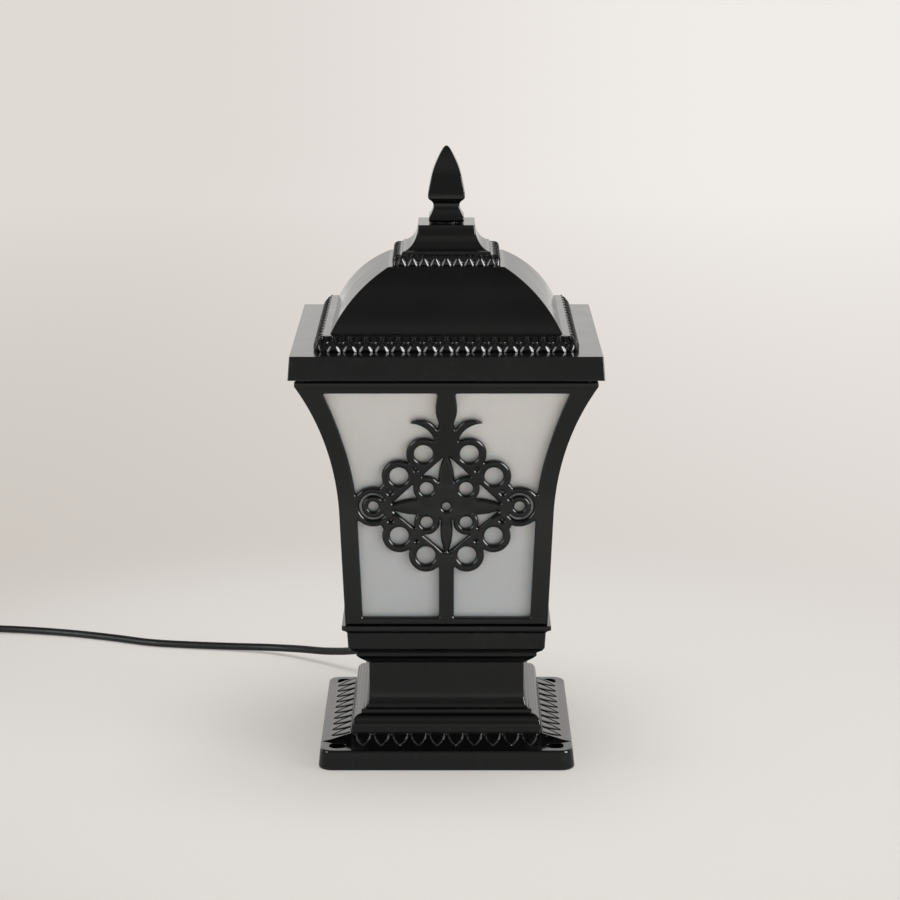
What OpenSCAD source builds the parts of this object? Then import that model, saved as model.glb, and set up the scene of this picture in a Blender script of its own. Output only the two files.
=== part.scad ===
// Post top lantern: a square cast lantern that stands on a pillar, with four curved fretwork sides,
// opal panes behind them, a domed roof that lifts off its tie rod, and a flex that leaves at the back.
// Millimetres. Origin at the middle of the underside, front face towards -Y, up is +Z.

/* [Base] */
// Side length of the square base plate
base_size = 160; // [150:1:180]
// Thickness of the base plate at its edge
base_h = 12.6; // [10:0.1:16]
// Radius of the base plate's upright corners
base_corner_r = 9; // [4:0.5:12]
// Wall of the base casting
base_wall = 4; // [3:0.1:5]
// Distance between fixing holes
bolt_spacing = 136; // [134:1:138]
// Diameter of the fixing holes
bolt_hole_d = 10; // [6:0.1:11]
// Outer side of the leaf border on the base
border_size = 145; // [140:1:147]
// Rise of the leaf border above the plate
border_h = 5.4; // [4:0.1:7]
// Leaves along one side of the border
leaf_count = 10; // [6:2:12]
// Distance from one leaf to the next
leaf_pitch = 11.6; // [10.5:0.1:11.8]

/* [Pedestal and tray] */
// Side length of the upright band above the border
band_size = 118.6; // [116:0.2:122]
// Height of the moulded part of the pedestal
moulding_h = 27; // [24:0.5:32]
// Side length of the neck
neck_size = 97; // [94:1:100]
// Height of the plain neck
neck_h = 16; // [10:0.5:30]
// Height of the tray
tray_h = 28.1; // [26:0.1:34]
// Side length of the tray lip
lip_size = 130; // [128:0.5:134]

/* [Side castings] */
// Side length over the side castings at the bottom
side_size = 125.4; // [124:0.2:128]
// Height of the side castings
side_h = 159.3; // [154:0.1:164]
// Outward lean of the straight lower part, in degrees
lean = 2.52; // [1:0.01:4]
// Height of the straight lower part
straight_h = 70.9; // [66:0.1:76]
// Radius of the outward curve above it
flare_r = 184; // [180:1:240]
// Angle at which the curve ends, in degrees
flare_end = 30.6; // [26:0.1:31]
// Thickness of the side castings
side_t = 4; // [3:0.1:5]
// Width of the corner posts on the face
post_w = 11; // [9:0.5:13]
// Height of the bottom rail
bottom_rail_h = 4.9; // [4:0.1:8]
// Height of the top rail
top_rail_h = 7.9; // [6:0.1:11]
// Width of the upright bar below the diamond
bar_w = 9.3; // [6:0.1:12]

/* [Fretwork] */
// Height of the middle of the diamond above the foot of the side casting
fret_up = 76.2; // [74:0.1:80]
// Half width of the diamond opening
diamond_x = 35.5; // [33:0.1:37]
// Height of the diamond opening above its middle
diamond_up = 34; // [32:0.1:35]
// Depth of the diamond opening below its middle
diamond_down = 30; // [28:0.1:32]
// Width of the diamond band
diamond_band = 5; // [4:0.1:6]
// Outer radius of the large side rings
eye_r = 12.7; // [12:0.1:14]
// Radius of the hole in the large side rings
eye_hole_r = 3.2; // [2:0.1:5]
// Mean radius of the open slot round that hole
eye_slot_r = 7.85; // [7:0.05:8.5]
// Width of the slot
eye_slot_w = 1.5; // [1:0.1:2]
// Outer radius of the other rings
ring_r = 10.6; // [10.3:0.1:11.5]
// Radius of the holes in the other rings
ring_hole_r = 5.7; // [4:0.1:6.5]
// Greatest width of the bud under the top rail
bud_w = 13.1; // [11:0.1:16]

/* [Panes and fixings] */
// Thickness of the opal panes
pane_t = 2.5; // [2:0.1:3]
// Width of a pane clip
clip_w = 10; // [6:0.5:16]
// Sheet thickness of clips, corner plates and the lamp bracket
sheet_t = 1.5; // [1:0.1:2]
// Width of the bridge strap under the roof
strap_w = 20; // [14:1:30]
// Thickness of the bridge strap
strap_t = 2.5; // [2:0.1:4]
// Diameter of the tie rod
rod_d = 6; // [5:0.1:7]
// Diameter of the small screws
screw_d = 3.9; // [3:0.1:4.2]

/* [Roof] */
// Side length of the brim at its bottom edge
brim_size = 190; // [188:1:196]
// Height of the brim
brim_h = 14.5; // [12:0.5:18]
// Radius of the drops in the moulding on the brim
drop_r = 3.7; // [3.3:0.1:4]
// Drops along one side of that moulding
drop_count = 16; // [14:1:18]
// Height of the strip that the dome stands on
plinth_h = 9.2; // [8:0.1:11]
// Radius of the dome's curve
dome_r = 77.6; // [75:0.1:80]
// Height of the dome
dome_h = 35.9; // [33:0.1:38]
// Radius of the drops in the small moulding over the dome
bead_r = 2.5; // [2.3:0.1:2.7]
// Drops along one side of the small moulding
bead_count = 9; // [8:1:10]
// Height of the small moulding
bead_h = 6.9; // [6:0.1:8]
// Height of the hollow-curved crown
crown_h = 16.3; // [13:0.1:18]
// Wall of the roof casting
roof_wall = 3.5; // [2.5:0.1:4]
// Thickness of the roof seal
seal_t = 1.2; // [1:0.1:2]

/* [Finial] */
// Side length of the finial's foot
finial_size = 22.8; // [20:0.2:26]
// Height of the finial's foot
finial_foot_h = 3; // [2:0.1:4]
// Height of the waist between foot and bud
finial_waist_h = 11.6; // [10:0.1:14]
// Side length at the waist
finial_waist = 15.8; // [13:0.2:18]
// Height of the pointed bud
finial_bud_h = 31.9; // [28:0.1:36]

/* [Lamp] */
// Outer diameter of the lamp holder
holder_d = 44; // [42:0.5:48]
// Height of the lamp holder
holder_h = 46; // [42:0.5:50]
// Diameter of the bulb's screw cap
cap_d = 26.2; // [26:0.1:26.4]
// Height of the bulb's screw cap
cap_h = 21; // [20:0.5:24]
// Greatest diameter of the bulb
bulb_d = 60; // [50:1:66]
// Height of the bulb's lower housing
bulb_body_h = 41; // [36:0.5:46]

/* [Flex] */
// Diameter of the flex
flex_d = 5.2; // [5:0.1:5.6]
// Height at which the flex leaves the neck
flex_z = 47.5; // [47:0.1:48.5]
// Mean diameter of the coil
coil_d = 57; // [54:1:62]
// Turns in each of the coil's two layers
layer_turns = 1.5; // [1.5:1:2.5]
// Clear gap between neighbouring turns
turn_gap = 0.6; // [0.5:0.1:1]

/* [Hidden] */
$fn = 48;

// Clearances
seat_gap = 0.3;
run_gap = 0.05;
screw_gap = 0.05;
rod_gap = 0.5;
mitre_gap = 0.05;
cut = 1;
far = 400;

// Heights of the stacked castings
z_plate = base_h;
z_border = z_plate + border_h;
z_neck_foot = z_border + moulding_h;
z_neck = z_neck_foot + neck_h;
z_tray = z_neck + tray_h;
z_side = z_tray + side_h;
z_roof = z_side + seat_gap + seal_t;
z_brim = z_roof + brim_h;
z_dome = z_brim + plinth_h;
z_bead = z_dome + dome_h;
z_crown = z_bead + bead_h;
z_top = z_crown + crown_h;
washer_t = 0.5;
z_finial = z_top + washer_t + seat_gap;
finial_h = finial_foot_h + finial_waist_h + finial_bud_h;

// Base and pedestal
boss_r = 10;
plate_draft = 1.3;
pedestal_floor_t = 4;
border_in_w = band_size / 2 + 0.7;
border_out_w = border_size / 2;
leaf_r = 7;
leaf_crown = 1.7;
leaf_root = 0.4;
border_edge = 0.9;
pad_in = band_size / 2 + 0.2;
pad_edge = 3;
pad_size = base_size / 2 - pad_edge - pad_in;
band_h = 4.2;
ovolo_h = 7.1;
fillet_h = 2.4;
neck_w = neck_size / 2;
neck_in_w = neck_w - base_wall;
moulding_w = band_size / 2 - neck_w;
ovolo_w = 0.454 * moulding_w;
fillet_step = 0.074 * moulding_w;
cove_w = 0.315 * moulding_w;
tray_bolt_d = 5;
tray_bolt_at = neck_in_w - 10.5;
service_w = neck_in_w - 16.5;

// Tray
tray_foot_w = lip_size / 2 - 15.9;
tray_floor_t = 4;
z_floor = z_neck + tray_floor_t;
tray_flange_t = 4;
tray_wall_in = 7.8;
flange_reach = 13.7;

// Side castings
foot_t = 3;
flange_t = 3;
side_w = side_size / 2;
z_straight = z_tray + straight_h;
seat_w = side_w - flange_reach;
z_window = z_tray + bottom_rail_h;
z_window_top = z_side - top_rail_h;
z_fret = z_tray + fret_up;
z_flange = z_side - flange_t;
pane_gap = 0.3;
pane_off = side_t + pane_gap;
rib_t = 1.8;
rib_h = 4;
arc_steps = 12;
straight_w = side_w + straight_h * tan(lean);
flare_cx = straight_w + flare_r * cos(lean);
flare_cz = z_straight - flare_r * sin(lean);
top_w = face_w(z_flange);
top_flange_in = top_w - 20.4;
flange_inset = 4;
fret_unit = diamond_up / 34;

// Fixings
head_d = 7.2;
head_h = 2.4;
frame_screw_x = 40;
frame_screw_w = lip_size / 2 - tray_wall_in - head_d / 2 - 0.4;
plate_arm = 30;
plate_w = 10;
plate_out = top_w - 9.4;
clip_x = 38;
clip_drop = 7.2;
nut_af = 10;
nut_h = 5;
rod_below = 8;
rod_top_gap = 1.5;
rod_grip = 14;

// Roof
brim_w = brim_size / 2;
brim_draft = 1.1;
plinth_w = 76;
drop_w = plinth_w + 0.6;
drop_tip = 0.3;
bead_w = 30.6;
dome_drop = 33;
step_w = 27.5;
crown_w = 17.6;
seat_rib_in = top_w - 12.9;
seat_rib_out = top_w - 5.4;

// Lamp
bracket_rise = 9;
bracket_x = 22;
bracket_foot = 32;
bracket_y = 12;
z_holder = z_floor + bracket_rise;
shell_t = 0.6;
shell_r = cap_d / 2 + run_gap;
contact_h = 4;
holder_floor = 18;
z_contact = z_holder + holder_floor + contact_h;
z_bulb = z_contact + seat_gap;
tip_h = 1.5;
insulator_h = 3.5;
z_cap = z_bulb + tip_h + insulator_h;
z_bulb_body = z_cap + cap_h;
z_globe = z_bulb_body + bulb_body_h;

// Wiring inside
bend_r = 12;
riser_y = service_w - 8;
flex_r = flex_d / 2;
neck_back = neck_w;
boot_l = 20;
grommet_r = flex_r + 2.9;
grommet_out = neck_back + boot_l;
boot_tip = 1.1;
wire_r = 1;
wire_gap = 5;
wire_z = z_floor + 4.5;
block_y = -34;
block_size = [34, 17, 14];
block_front = block_y + block_size.y / 2;
block_back = block_y - block_size.y / 2;
earth_at = [32, -19];
tag_r = 4;
tag_t = 2.4;
tag_z = z_floor + tag_t / 2;

// Route of the flex over the floor, from the lantern outwards
route = [[0, grommet_out + seat_gap, flex_z], [0, 74, flex_z], [-1, 80, 46.5], [-6, 90, 43],
    [-18, 103, 35.5], [-37, 117, 25.5], [-60, 131, 15.5], [-82, 148, 9.5], [-104, 164, 6.4],
    [-128, 176, 4], [-155, 182, 3], [-185, 187, 2.7], [-212, 193, 2.6], [-240, 205, 2.6],
    [-270, 216, 2.6], [-300, 223, 2.8], [-326, 226, 3.2], [-352, 227, 3.8], [-362, 227, 3.8],
    [-372, 227, 3.8]];

// Coil beyond the end of the route
tie_t = 1;
tie_w = 3;
tie_gap = 0.2;
coil_pitch = flex_d + turn_gap;
coil_turns = 2 * layer_turns + 0.5;
coil_out_r = coil_d / 2 + layer_turns * coil_pitch / 2;
coil_rings = 24;
coil_start = route[len(route) - 1];
coil_c = [coil_start.x - flex_d, coil_start.y - coil_out_r];

// Half width of a side's outer face at a given height, moved inwards by off
function face_w(z, off = 0) =
    z < z_straight ? straight_w - (z_straight - z) * tan(lean) - off / cos(lean)
    : z < flare_point(flare_end, off).y ? flare_cx - sqrt(pow(flare_r + off, 2) - pow(z - flare_cz, 2))
    : flare_point(flare_end, off).x;

// Point of the flare at angle a
function flare_point(a, off = 0) =
    [flare_cx - (flare_r + off) * cos(a), flare_cz + (flare_r + off) * sin(a)];

// Outer profile of a side from its foot up, moved inwards by off
function side_profile(off = 0) = concat(
    [[face_w(z_tray - 20, off), z_tray - 20]],
    [for (i = [0:arc_steps]) flare_point(lean + (flare_end - lean) * i / arc_steps, off)],
    [[flare_point(flare_end, off).x, z_side + 20]]);

// Closed outline from a half outline, mirrored about the middle
function mirrored(pts) = concat(pts, [for (i = [len(pts) - 1:-1:0]) [-pts[i].x, pts[i].y]]);

// Square solid whose half width follows a half outline of [half width, height]
module square_turn(pts) {
    reach = 2 * max([for (p = pts) p.x]) + cut;
    intersection() {
        rotate([90, 0, 0])
            linear_extrude(height = reach, center = true) polygon(mirrored(pts));
        rotate([90, 0, 90])
            linear_extrude(height = reach, center = true) polygon(mirrored(pts));
    }
}

// Outline of a square with rounded corners
function round_square(half, r, steps = 5) = [for (q = [0:3]) for (i = [0:steps])
    let (a = 90 * q + 90 * i / steps, s = [q == 0 || q == 3 ? 1 : -1, q < 2 ? 1 : -1])
    [s.x * (half - r) + r * cos(a), s.y * (half - r) + r * sin(a)]];

// The same thing on all four sides
module four_sides() {
    for (k = [0:3])
        rotate([0, 0, 90 * k]) children();
}

// Screw pointing up from the underside of its head at z = 0
module pan_screw(length, d = screw_d) {
    cylinder(d = d, h = length, $fn = 24);
    translate([0, 0, -head_h]) cylinder(d = head_d, h = head_h, $fn = 24);
}

// Hexagon bolt pointing up from the underside of its head at z = 0
module hex_bolt(length, d, af, h) {
    cylinder(d = d, h = length, $fn = 24);
    translate([0, 0, -h]) cylinder(d = af / cos(30), h = h, $fn = 6);
}

// Tube of radius r along a list of points, with rings square to the route
function unit(v) = v / norm(v);
function heading(p, i) = unit(p[min(i + 1, len(p) - 1)] - p[max(i - 1, 0)]);
module tube(p, r, sides, ref = [0, 0, 1]) {
    n = len(p);
    rings = [for (i = [0:n - 1])
        let (t = heading(p, i), u = unit(cross(t, ref)), v = cross(u, t))
        for (k = [0:sides - 1])
            p[i] + r * (u * cos(360 * (k + 0.5) / sides) + v * sin(360 * (k + 0.5) / sides))];
    walls = [for (i = [0:n - 2]) for (k = [0:sides - 1])
        let (a = i * sides + k, b = i * sides + (k + 1) % sides)
        each [[a, b, b + sides], [a, b + sides, a + sides]]];
    ends = concat(
        [for (k = [1:sides - 2]) [0, k + 1, k]],
        [for (k = [1:sides - 2]) [(n - 1) * sides, (n - 1) * sides + k, (n - 1) * sides + k + 1]]);
    polyhedron(points = rings, faces = concat(walls, ends), convexity = 8);
}

// Smooth route through hand-chosen points, with two rings to each stretch
function spline_point(a, b, c, d, t) =
    0.5 * (2 * b + (c - a) * t + (2 * a - 5 * b + 4 * c - d) * t * t
    + (3 * b - a - 3 * c + d) * t * t * t);
function smooth(p, steps = 2) = concat(
    [for (i = [0:len(p) - 2]) for (s = [0:steps - 1])
        spline_point(p[max(i - 1, 0)], p[i], p[i + 1], p[min(i + 2, len(p) - 1)], s / steps)],
    [p[len(p) - 1]]);

// Middle of the coiled flex after t turns, with a straight end one diameter long at each side
function coil_r(t) = coil_out_r - coil_pitch * (t < coil_turns / 2 ? t : coil_turns - t);
function coil_climb(t) = 0.5 - 0.5 * cos(180 * min(max((t - layer_turns) / 0.5, 0), 1));
function coil_point(t) = [coil_c.x - coil_r(t) * sin(360 * t), coil_c.y + coil_r(t) * cos(360 * t),
    coil_start.z + coil_pitch * coil_climb(t)];
coil_body = [for (i = [0:coil_turns * coil_rings]) coil_point(i / coil_rings)];
coil_end = coil_body[len(coil_body) - 1] + [flex_d, 0, 0];
coil_path = concat([coil_start], coil_body, [coil_end]);

// Least gap between turns of the coil, measured from ring to ring
coil_least = min([for (i = [0:len(coil_body) - 1])
    for (j = [i + coil_rings / 2:1:len(coil_body) - 1]) norm(coil_body[i] - coil_body[j])]) - flex_d;
echo(least_gap_in_coil = coil_least);

// Base plate, leaf border, pedestal and neck in one hollow casting
module base_casting() color("#242424") {
    band_w = band_size / 2;
    z_band = z_border + band_h;
    outer = concat(
        [[border_out_w, z_plate - cut], [border_out_w, z_plate + border_edge], [border_in_w, z_border],
            [band_w, z_border]],
        [for (a = [0:18:90]) [band_w - ovolo_w * (1 - cos(a)), z_band + ovolo_h * sin(a)]],
        [[band_w - ovolo_w - fillet_step, z_band + ovolo_h],
            [band_w - ovolo_w - fillet_step, z_band + ovolo_h + fillet_h]],
        [for (a = [0:22.5:90]) [neck_w + cove_w * (1 - sin(a)),
            z_neck_foot - (moulding_h - band_h - ovolo_h - fillet_h) * cos(a)]],
        [[neck_w, z_neck]]);
    inner = [[band_w - base_wall, z_plate - base_wall - cut], [band_w - base_wall, z_band - 2],
        [band_w - base_wall - ovolo_w, z_band + ovolo_h - 1.5], [neck_in_w, z_neck_foot - 6],
        [neck_in_w, z_neck - pedestal_floor_t]];
    difference() {
        union() {
            difference() {
                intersection() {
                    linear_extrude(height = z_plate)
                        polygon(round_square(base_size / 2, base_corner_r));
                    square_turn([[base_size / 2, 0], [base_size / 2 - plate_draft, z_plate]]);
                }
                translate([0, 0, -cut]) linear_extrude(height = z_plate - base_wall + cut)
                    polygon(round_square(base_size / 2 - base_wall, base_corner_r - base_wall / 2));
            }
            square_turn(outer);
            for (x = [-1, 1]) for (y = [-1, 1])
                translate([x * bolt_spacing / 2, y * bolt_spacing / 2, 0])
                    cylinder(r = boss_r, h = z_plate);
            border_leaves();
        }
        square_turn(inner);
        for (x = [-1, 1]) for (y = [-1, 1]) {
            translate([x * bolt_spacing / 2, y * bolt_spacing / 2, -cut])
                cylinder(d = bolt_hole_d, h = z_plate + border_h + 2 * cut);
            translate([x * (pad_in + pad_size / 2), y * (pad_in + pad_size / 2), z_plate])
                linear_extrude(height = border_h + cut)
                    polygon(round_square(pad_size / 2, 1));
            translate([x * tray_bolt_at, y * tray_bolt_at, z_neck - pedestal_floor_t - cut])
                cylinder(d = tray_bolt_d + 2 * screw_gap, h = pedestal_floor_t + 2 * cut, $fn = 24);
        }
        translate([-service_w, -service_w, z_neck - pedestal_floor_t - cut])
            cube([2 * service_w, 2 * service_w, pedestal_floor_t + 2 * cut]);
        translate([0, neck_in_w - cut, flex_z]) rotate([-90, 0, 0])
            cylinder(r = grommet_r, h = base_wall + 6);
    }
}

// Rounded leaves lying side by side on the sloping border
module border_leaves() {
    slope_w = border_out_w - border_in_w;
    slope = atan((border_h - border_edge) / slope_w);
    run = slope_w / cos(slope);
    four_sides()
        for (k = [0:leaf_count - 1])
            translate([(k - (leaf_count - 1) / 2) * leaf_pitch, -border_out_w,
                z_plate + border_edge])
                rotate([slope, 0, 0]) translate([0, 0, leaf_crown - leaf_r]) rotate([-90, 0, 0])
                    difference() {
                        cylinder(r = leaf_r, h = run, $fn = 32);
                        translate([-leaf_r - cut, leaf_crown + leaf_root - leaf_r, -cut])
                            cube([2 * leaf_r + 2 * cut, 2 * leaf_r, run + 2 * cut]);
                    }
}

// Shallow square tray that the side castings stand on
module tray_casting() color("#242424") {
    lip_w = lip_size / 2;
    foot_w = tray_foot_w;
    outer = [[foot_w, z_neck], [foot_w + 5.1, z_neck + 4.1], [foot_w + 7.2, z_neck + 6.3],
        [foot_w + 7.2, z_neck + 8.4], [lip_w - 4.9, z_neck + 10.8], [lip_w - 3.8, z_neck + 12.7],
        [lip_w - 3.2, z_tray - 5.5], [lip_w - 2, z_tray - 4.1], [lip_w, z_tray - 2.9],
        [lip_w, z_tray]];
    inner = [[foot_w + 1, z_floor], [foot_w + 3.4, z_floor + 5], [lip_w - tray_wall_in, z_floor + 9],
        [lip_w - tray_wall_in, z_tray - tray_flange_t]];
    difference() {
        square_turn(outer);
        square_turn(inner);
        translate([-seat_w, -seat_w, z_tray - tray_flange_t - cut])
            cube([2 * seat_w, 2 * seat_w, tray_flange_t + 2 * cut]);
        four_sides() for (x = [-1, 1])
            translate([x * frame_screw_x, -frame_screw_w, z_tray - tray_flange_t - cut])
                cylinder(d = screw_d + 2 * screw_gap, h = tray_flange_t + 2 * cut, $fn = 24);
        for (x = [-1, 1]) for (y = [-1, 1])
            translate([x * tray_bolt_at, y * tray_bolt_at, z_neck - cut])
                cylinder(d = tray_bolt_d + 2 * screw_gap, h = tray_floor_t + 2 * cut, $fn = 24);
        translate([0, riser_y, z_neck - cut]) cylinder(r = flex_r + 0.4, h = tray_floor_t + 2 * cut);
        for (x = [-1, 1])
            translate([x * bracket_screw_x(), 0, z_neck + cut])
                cylinder(d = screw_d + 2 * screw_gap, h = tray_floor_t, $fn = 24);
        translate([earth_at.x, earth_at.y, z_neck + cut])
            cylinder(d = screw_d + 2 * screw_gap, h = tray_floor_t, $fn = 24);
    }
}

// Four bolts from the neck up into the tray floor
module tray_bolts() color("#8c8c8c") {
    for (x = [-1, 1]) for (y = [-1, 1])
        translate([x * tray_bolt_at, y * tray_bolt_at, z_neck - pedestal_floor_t])
            hex_bolt(pedestal_floor_t + tray_floor_t, tray_bolt_d, 8, 3.5);
}

// Band along a side between two offsets of its outer face, in the front position
module side_band(off_out, off_in, z0, z1) {
    intersection() {
        rotate([90, 0, -90]) linear_extrude(height = far, center = true)
            polygon(concat(side_profile(off_out),
                [for (i = [len(side_profile(off_in)) - 1:-1:0]) side_profile(off_in)[i]]));
        translate([-far / 2, -far / 2, z0]) cube([far, far, z1 - z0]);
    }
}

// Quarter of the lantern in front of both diagonals
module front_wedge(gap) {
    translate([0, 0, z_tray - cut]) linear_extrude(height = side_h + 2 * cut)
        polygon([[0, -gap], [far / 2, -far / 2 - gap], [-far / 2, -far / 2 - gap]]);
}

// Half width of the window at a given height
function window_w(z) = face_w(z) - post_w
    - 3 * fret_unit * pow(max(z - z_fret - 35 * fret_unit, 0) / (40 * fret_unit), 2);

// Window outline in the face, in X and Z
module window_outline() {
    steps = 8;
    polygon(mirrored([for (i = [0:steps])
        let (z = z_window + (z_window_top - z_window) * i / steps) [window_w(z), z]]));
}

// Flat drawing of the fretwork, centred on the diamond
module fret_drawing() {
    band_x = diamond_band * sqrt(1 + pow(diamond_x / diamond_up, 2));
    band_z = diamond_band * sqrt(1 + pow(diamond_up / diamond_x, 2));
    difference() {
        union() {
            polygon([[diamond_x + band_x, 0], [0, diamond_up + band_z], [-diamond_x - band_x, 0],
                [0, -diamond_down - band_z]]);
            for (s = [-1, 1]) {
                translate([s * eye_x(), 0]) circle(r = eye_r);
                for (p = ring_places()) translate([s * p.x, p.y]) circle(r = ring_r);
                for (p = web_places()) translate([s * p.x, p.y]) circle(r = 3, $fn = 24);
            }
            stem_and_bud();
            translate([-bar_w / 2, z_window - z_fret - cut])
                square([bar_w, z_fret - z_window - diamond_down + cut]);
        }
        polygon([[diamond_x, 0], [0, diamond_up], [-diamond_x, 0], [0, -diamond_down]]);
        for (s = [-1, 1]) {
            translate([s * eye_x(), 0]) {
                circle(r = eye_hole_r, $fn = 32);
                eye_slot(s);
            }
            for (p = ring_places()) translate([s * p.x, p.y]) circle(r = ring_hole_r);
        }
    }
    rosette();
    for (s = [-1, 1]) leaf(s);
}

// Slot round the hole of a side ring, closed towards the diamond; s is 1 for right and -1 for left
module eye_slot(s) {
    half_web = 38;
    difference() {
        circle(r = eye_slot_r + eye_slot_w / 2);
        circle(r = eye_slot_r - eye_slot_w / 2);
        polygon([[0, 0], [-s * eye_r, eye_r * tan(half_web)], [-s * eye_r, -eye_r * tan(half_web)]]);
    }
}

// Places of the rings and of the webs between them, for the right half
function eye_x() = diamond_x + 9.4 * fret_unit;
function ring_places() =
    [[14, 34.5] * fret_unit, [29.1, 19.7] * fret_unit, [29, -18.8] * fret_unit,
    [12.6, -31.3] * fret_unit];
function web_places() = [[37.6, 12] * fret_unit, [37, -11.8] * fret_unit];

// Stem that swells into the bud under the top rail
module stem_and_bud() {
    top = z_window_top - z_fret + cut;
    bud_z = 63.5 * fret_unit;
    neck_z = 55 * fret_unit;
    half = bud_w / 2;
    waist = 0.69 * half;
    tip = 0.75 * half;
    polygon(mirrored(concat(
        [[9, 24] * fret_unit, [8.2, 35] * fret_unit, [6.6, 41] * fret_unit, [5.2, 50] * fret_unit],
        [for (a = [90:-22.5:0]) [waist + (half - waist) * cos(a), bud_z - (bud_z - neck_z) * a / 90]],
        [for (a = [22.5:22.5:90]) [tip + (half - tip) * cos(a), bud_z + (top - bud_z) * a / 90]])));
}

// Curved leaf beside the stem; s is 1 for right and -1 for left
module leaf(s) {
    scale([s * fret_unit, fret_unit]) difference() {
        translate([15.5, 46.7]) circle(r = 10.6);
        translate([22.9, 38.2]) circle(r = 16.6);
    }
}

// Four-petal rosette that fills the diamond
module rosette() {
    petal_r = diamond_up;
    share = 0.34;
    for (k = [0:3]) {
        reach = (k % 2 == 0 ? diamond_x : (k == 1 ? diamond_up : diamond_down)) + 1;
        side = sqrt(pow(petal_r, 2) - pow(reach / 2, 2));
        rotate(90 * k) intersection() {
            translate([reach / 2, side]) circle(r = petal_r);
            translate([reach / 2, -side]) circle(r = petal_r);
        }
    }
    difference() {
        union() {
            circle(r = 9 * fret_unit);
            for (s = [-1, 1]) {
                translate([s * diamond_x, diamond_up] * share) circle(r = 8.4 * fret_unit);
                translate([s * diamond_x, -diamond_down] * share) circle(r = 7.8 * fret_unit);
            }
        }
        for (s = [-1, 1]) {
            translate([s * diamond_x, diamond_up] * share) circle(r = 4.2 * fret_unit, $fn = 32);
            translate([s * diamond_x, -diamond_down] * share) circle(r = 3.8 * fret_unit, $fn = 32);
        }
        circle(r = 2.6 * fret_unit, $fn = 32);
    }
}

// One side casting in the front position
module side_casting() color("#242424") {
    flange_out = top_w - side_t / 2;
    difference() {
        intersection() {
            front_wedge(mitre_gap);
            union() {
                intersection() {
                    side_band(0, side_t, z_tray, z_side);
                    rotate([90, 0, 0]) linear_extrude(height = far / 2) {
                        difference() {
                            translate([-far / 2, z_tray]) square([far, side_h]);
                            window_outline();
                        }
                        translate([0, z_fret]) fret_drawing();
                    }
                }
                translate([-far / 2, -side_w + side_t / 2, z_tray])
                    cube([far, side_w - side_t / 2 - seat_w, foot_t]);
                translate([-far / 2, -pane_in_foot() + seat_gap, z_tray])
                    cube([far, rib_t, foot_t + rib_h]);
                translate([-far / 2, -flange_out, z_flange])
                    cube([far, flange_out - top_flange_in, flange_t]);
            }
        }
        for (x = [-1, 1]) {
            translate([x * frame_screw_x, -frame_screw_w, z_tray - cut])
                cylinder(d = screw_d + 2 * screw_gap, h = foot_t + cut - 0.6, $fn = 24);
            translate([x * clip_x, -clip_screw_w(), z_flange - cut])
                cylinder(d = screw_d + 2 * screw_gap, h = flange_t + cut - 0.6, $fn = 24);
            translate([x * plate_screw_x(), -plate_screw_w(), z_flange - cut])
                cylinder(d = screw_d + 2 * screw_gap, h = flange_t + cut - 0.6, $fn = 24);
            translate([x * strap_w / 4, -strap_screw_w(), z_flange - cut])
                cylinder(d = screw_d + 2 * screw_gap, h = flange_t + cut - 0.6, $fn = 24);
        }
    }
}
function pane_in_foot() = face_w(z_tray + foot_t, pane_off + pane_t);
function plate_screw_x() = plate_out - plate_arm + 6;
function plate_screw_w() = plate_out - plate_w / 2;
function clip_w_out() = face_w(z_flange - clip_drop, pane_off + pane_t) - seat_gap;
function clip_screw_w() = clip_w_out() - sheet_t - head_d / 2 - seat_gap;
function strap_screw_w() = top_flange_in + flange_inset;
function bracket_screw_x() = (bracket_x + bracket_foot) / 2;

module frame_front() side_casting();
module frame_right() rotate([0, 0, 90]) side_casting();
module frame_back() rotate([0, 0, 180]) side_casting();
module frame_left() rotate([0, 0, 270]) side_casting();

// Screws up through the tray lip into the feet of the side castings
module frame_screws() color("#9a9a9a") {
    four_sides() for (x = [-1, 1])
        translate([x * frame_screw_x, -frame_screw_w, z_tray - tray_flange_t])
            pan_screw(tray_flange_t + foot_t - 0.8);
}

// Four angled plates that tie the side castings together under their top flanges
module corner_plates() color("#b0b0b0") {
    four_sides() translate([0, 0, z_flange - sheet_t]) difference() {
        linear_extrude(height = sheet_t) polygon([[plate_out, -plate_out],
            [plate_out, -plate_out + plate_arm], [plate_out - plate_w, -plate_out + plate_arm],
            [plate_out - plate_w, -plate_out + plate_w], [plate_out - plate_arm, -plate_out + plate_w],
            [plate_out - plate_arm, -plate_out]]);
        translate([plate_screw_x(), -plate_screw_w(), -cut])
            cylinder(d = screw_d + 2 * screw_gap, h = sheet_t + 2 * cut, $fn = 24);
        translate([plate_screw_w(), -plate_screw_x(), -cut])
            cylinder(d = screw_d + 2 * screw_gap, h = sheet_t + 2 * cut, $fn = 24);
    }
}

module corner_screws() color("#9a9a9a") {
    four_sides() for (x = [-1, 1])
        translate([x * plate_screw_x(), -plate_screw_w(), z_flange - sheet_t])
            pan_screw(sheet_t + flange_t - 0.8);
}

// One opal pane in the front position
module pane() color("#dfe3e6") {
    intersection() {
        side_band(pane_off, pane_off + pane_t, z_tray + foot_t, z_flange - sheet_t - 0.5);
        front_wedge(4 * mitre_gap);
    }
}

module pane_front() pane();
module pane_right() rotate([0, 0, 90]) pane();
module pane_back() rotate([0, 0, 180]) pane();
module pane_left() rotate([0, 0, 270]) pane();

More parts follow.
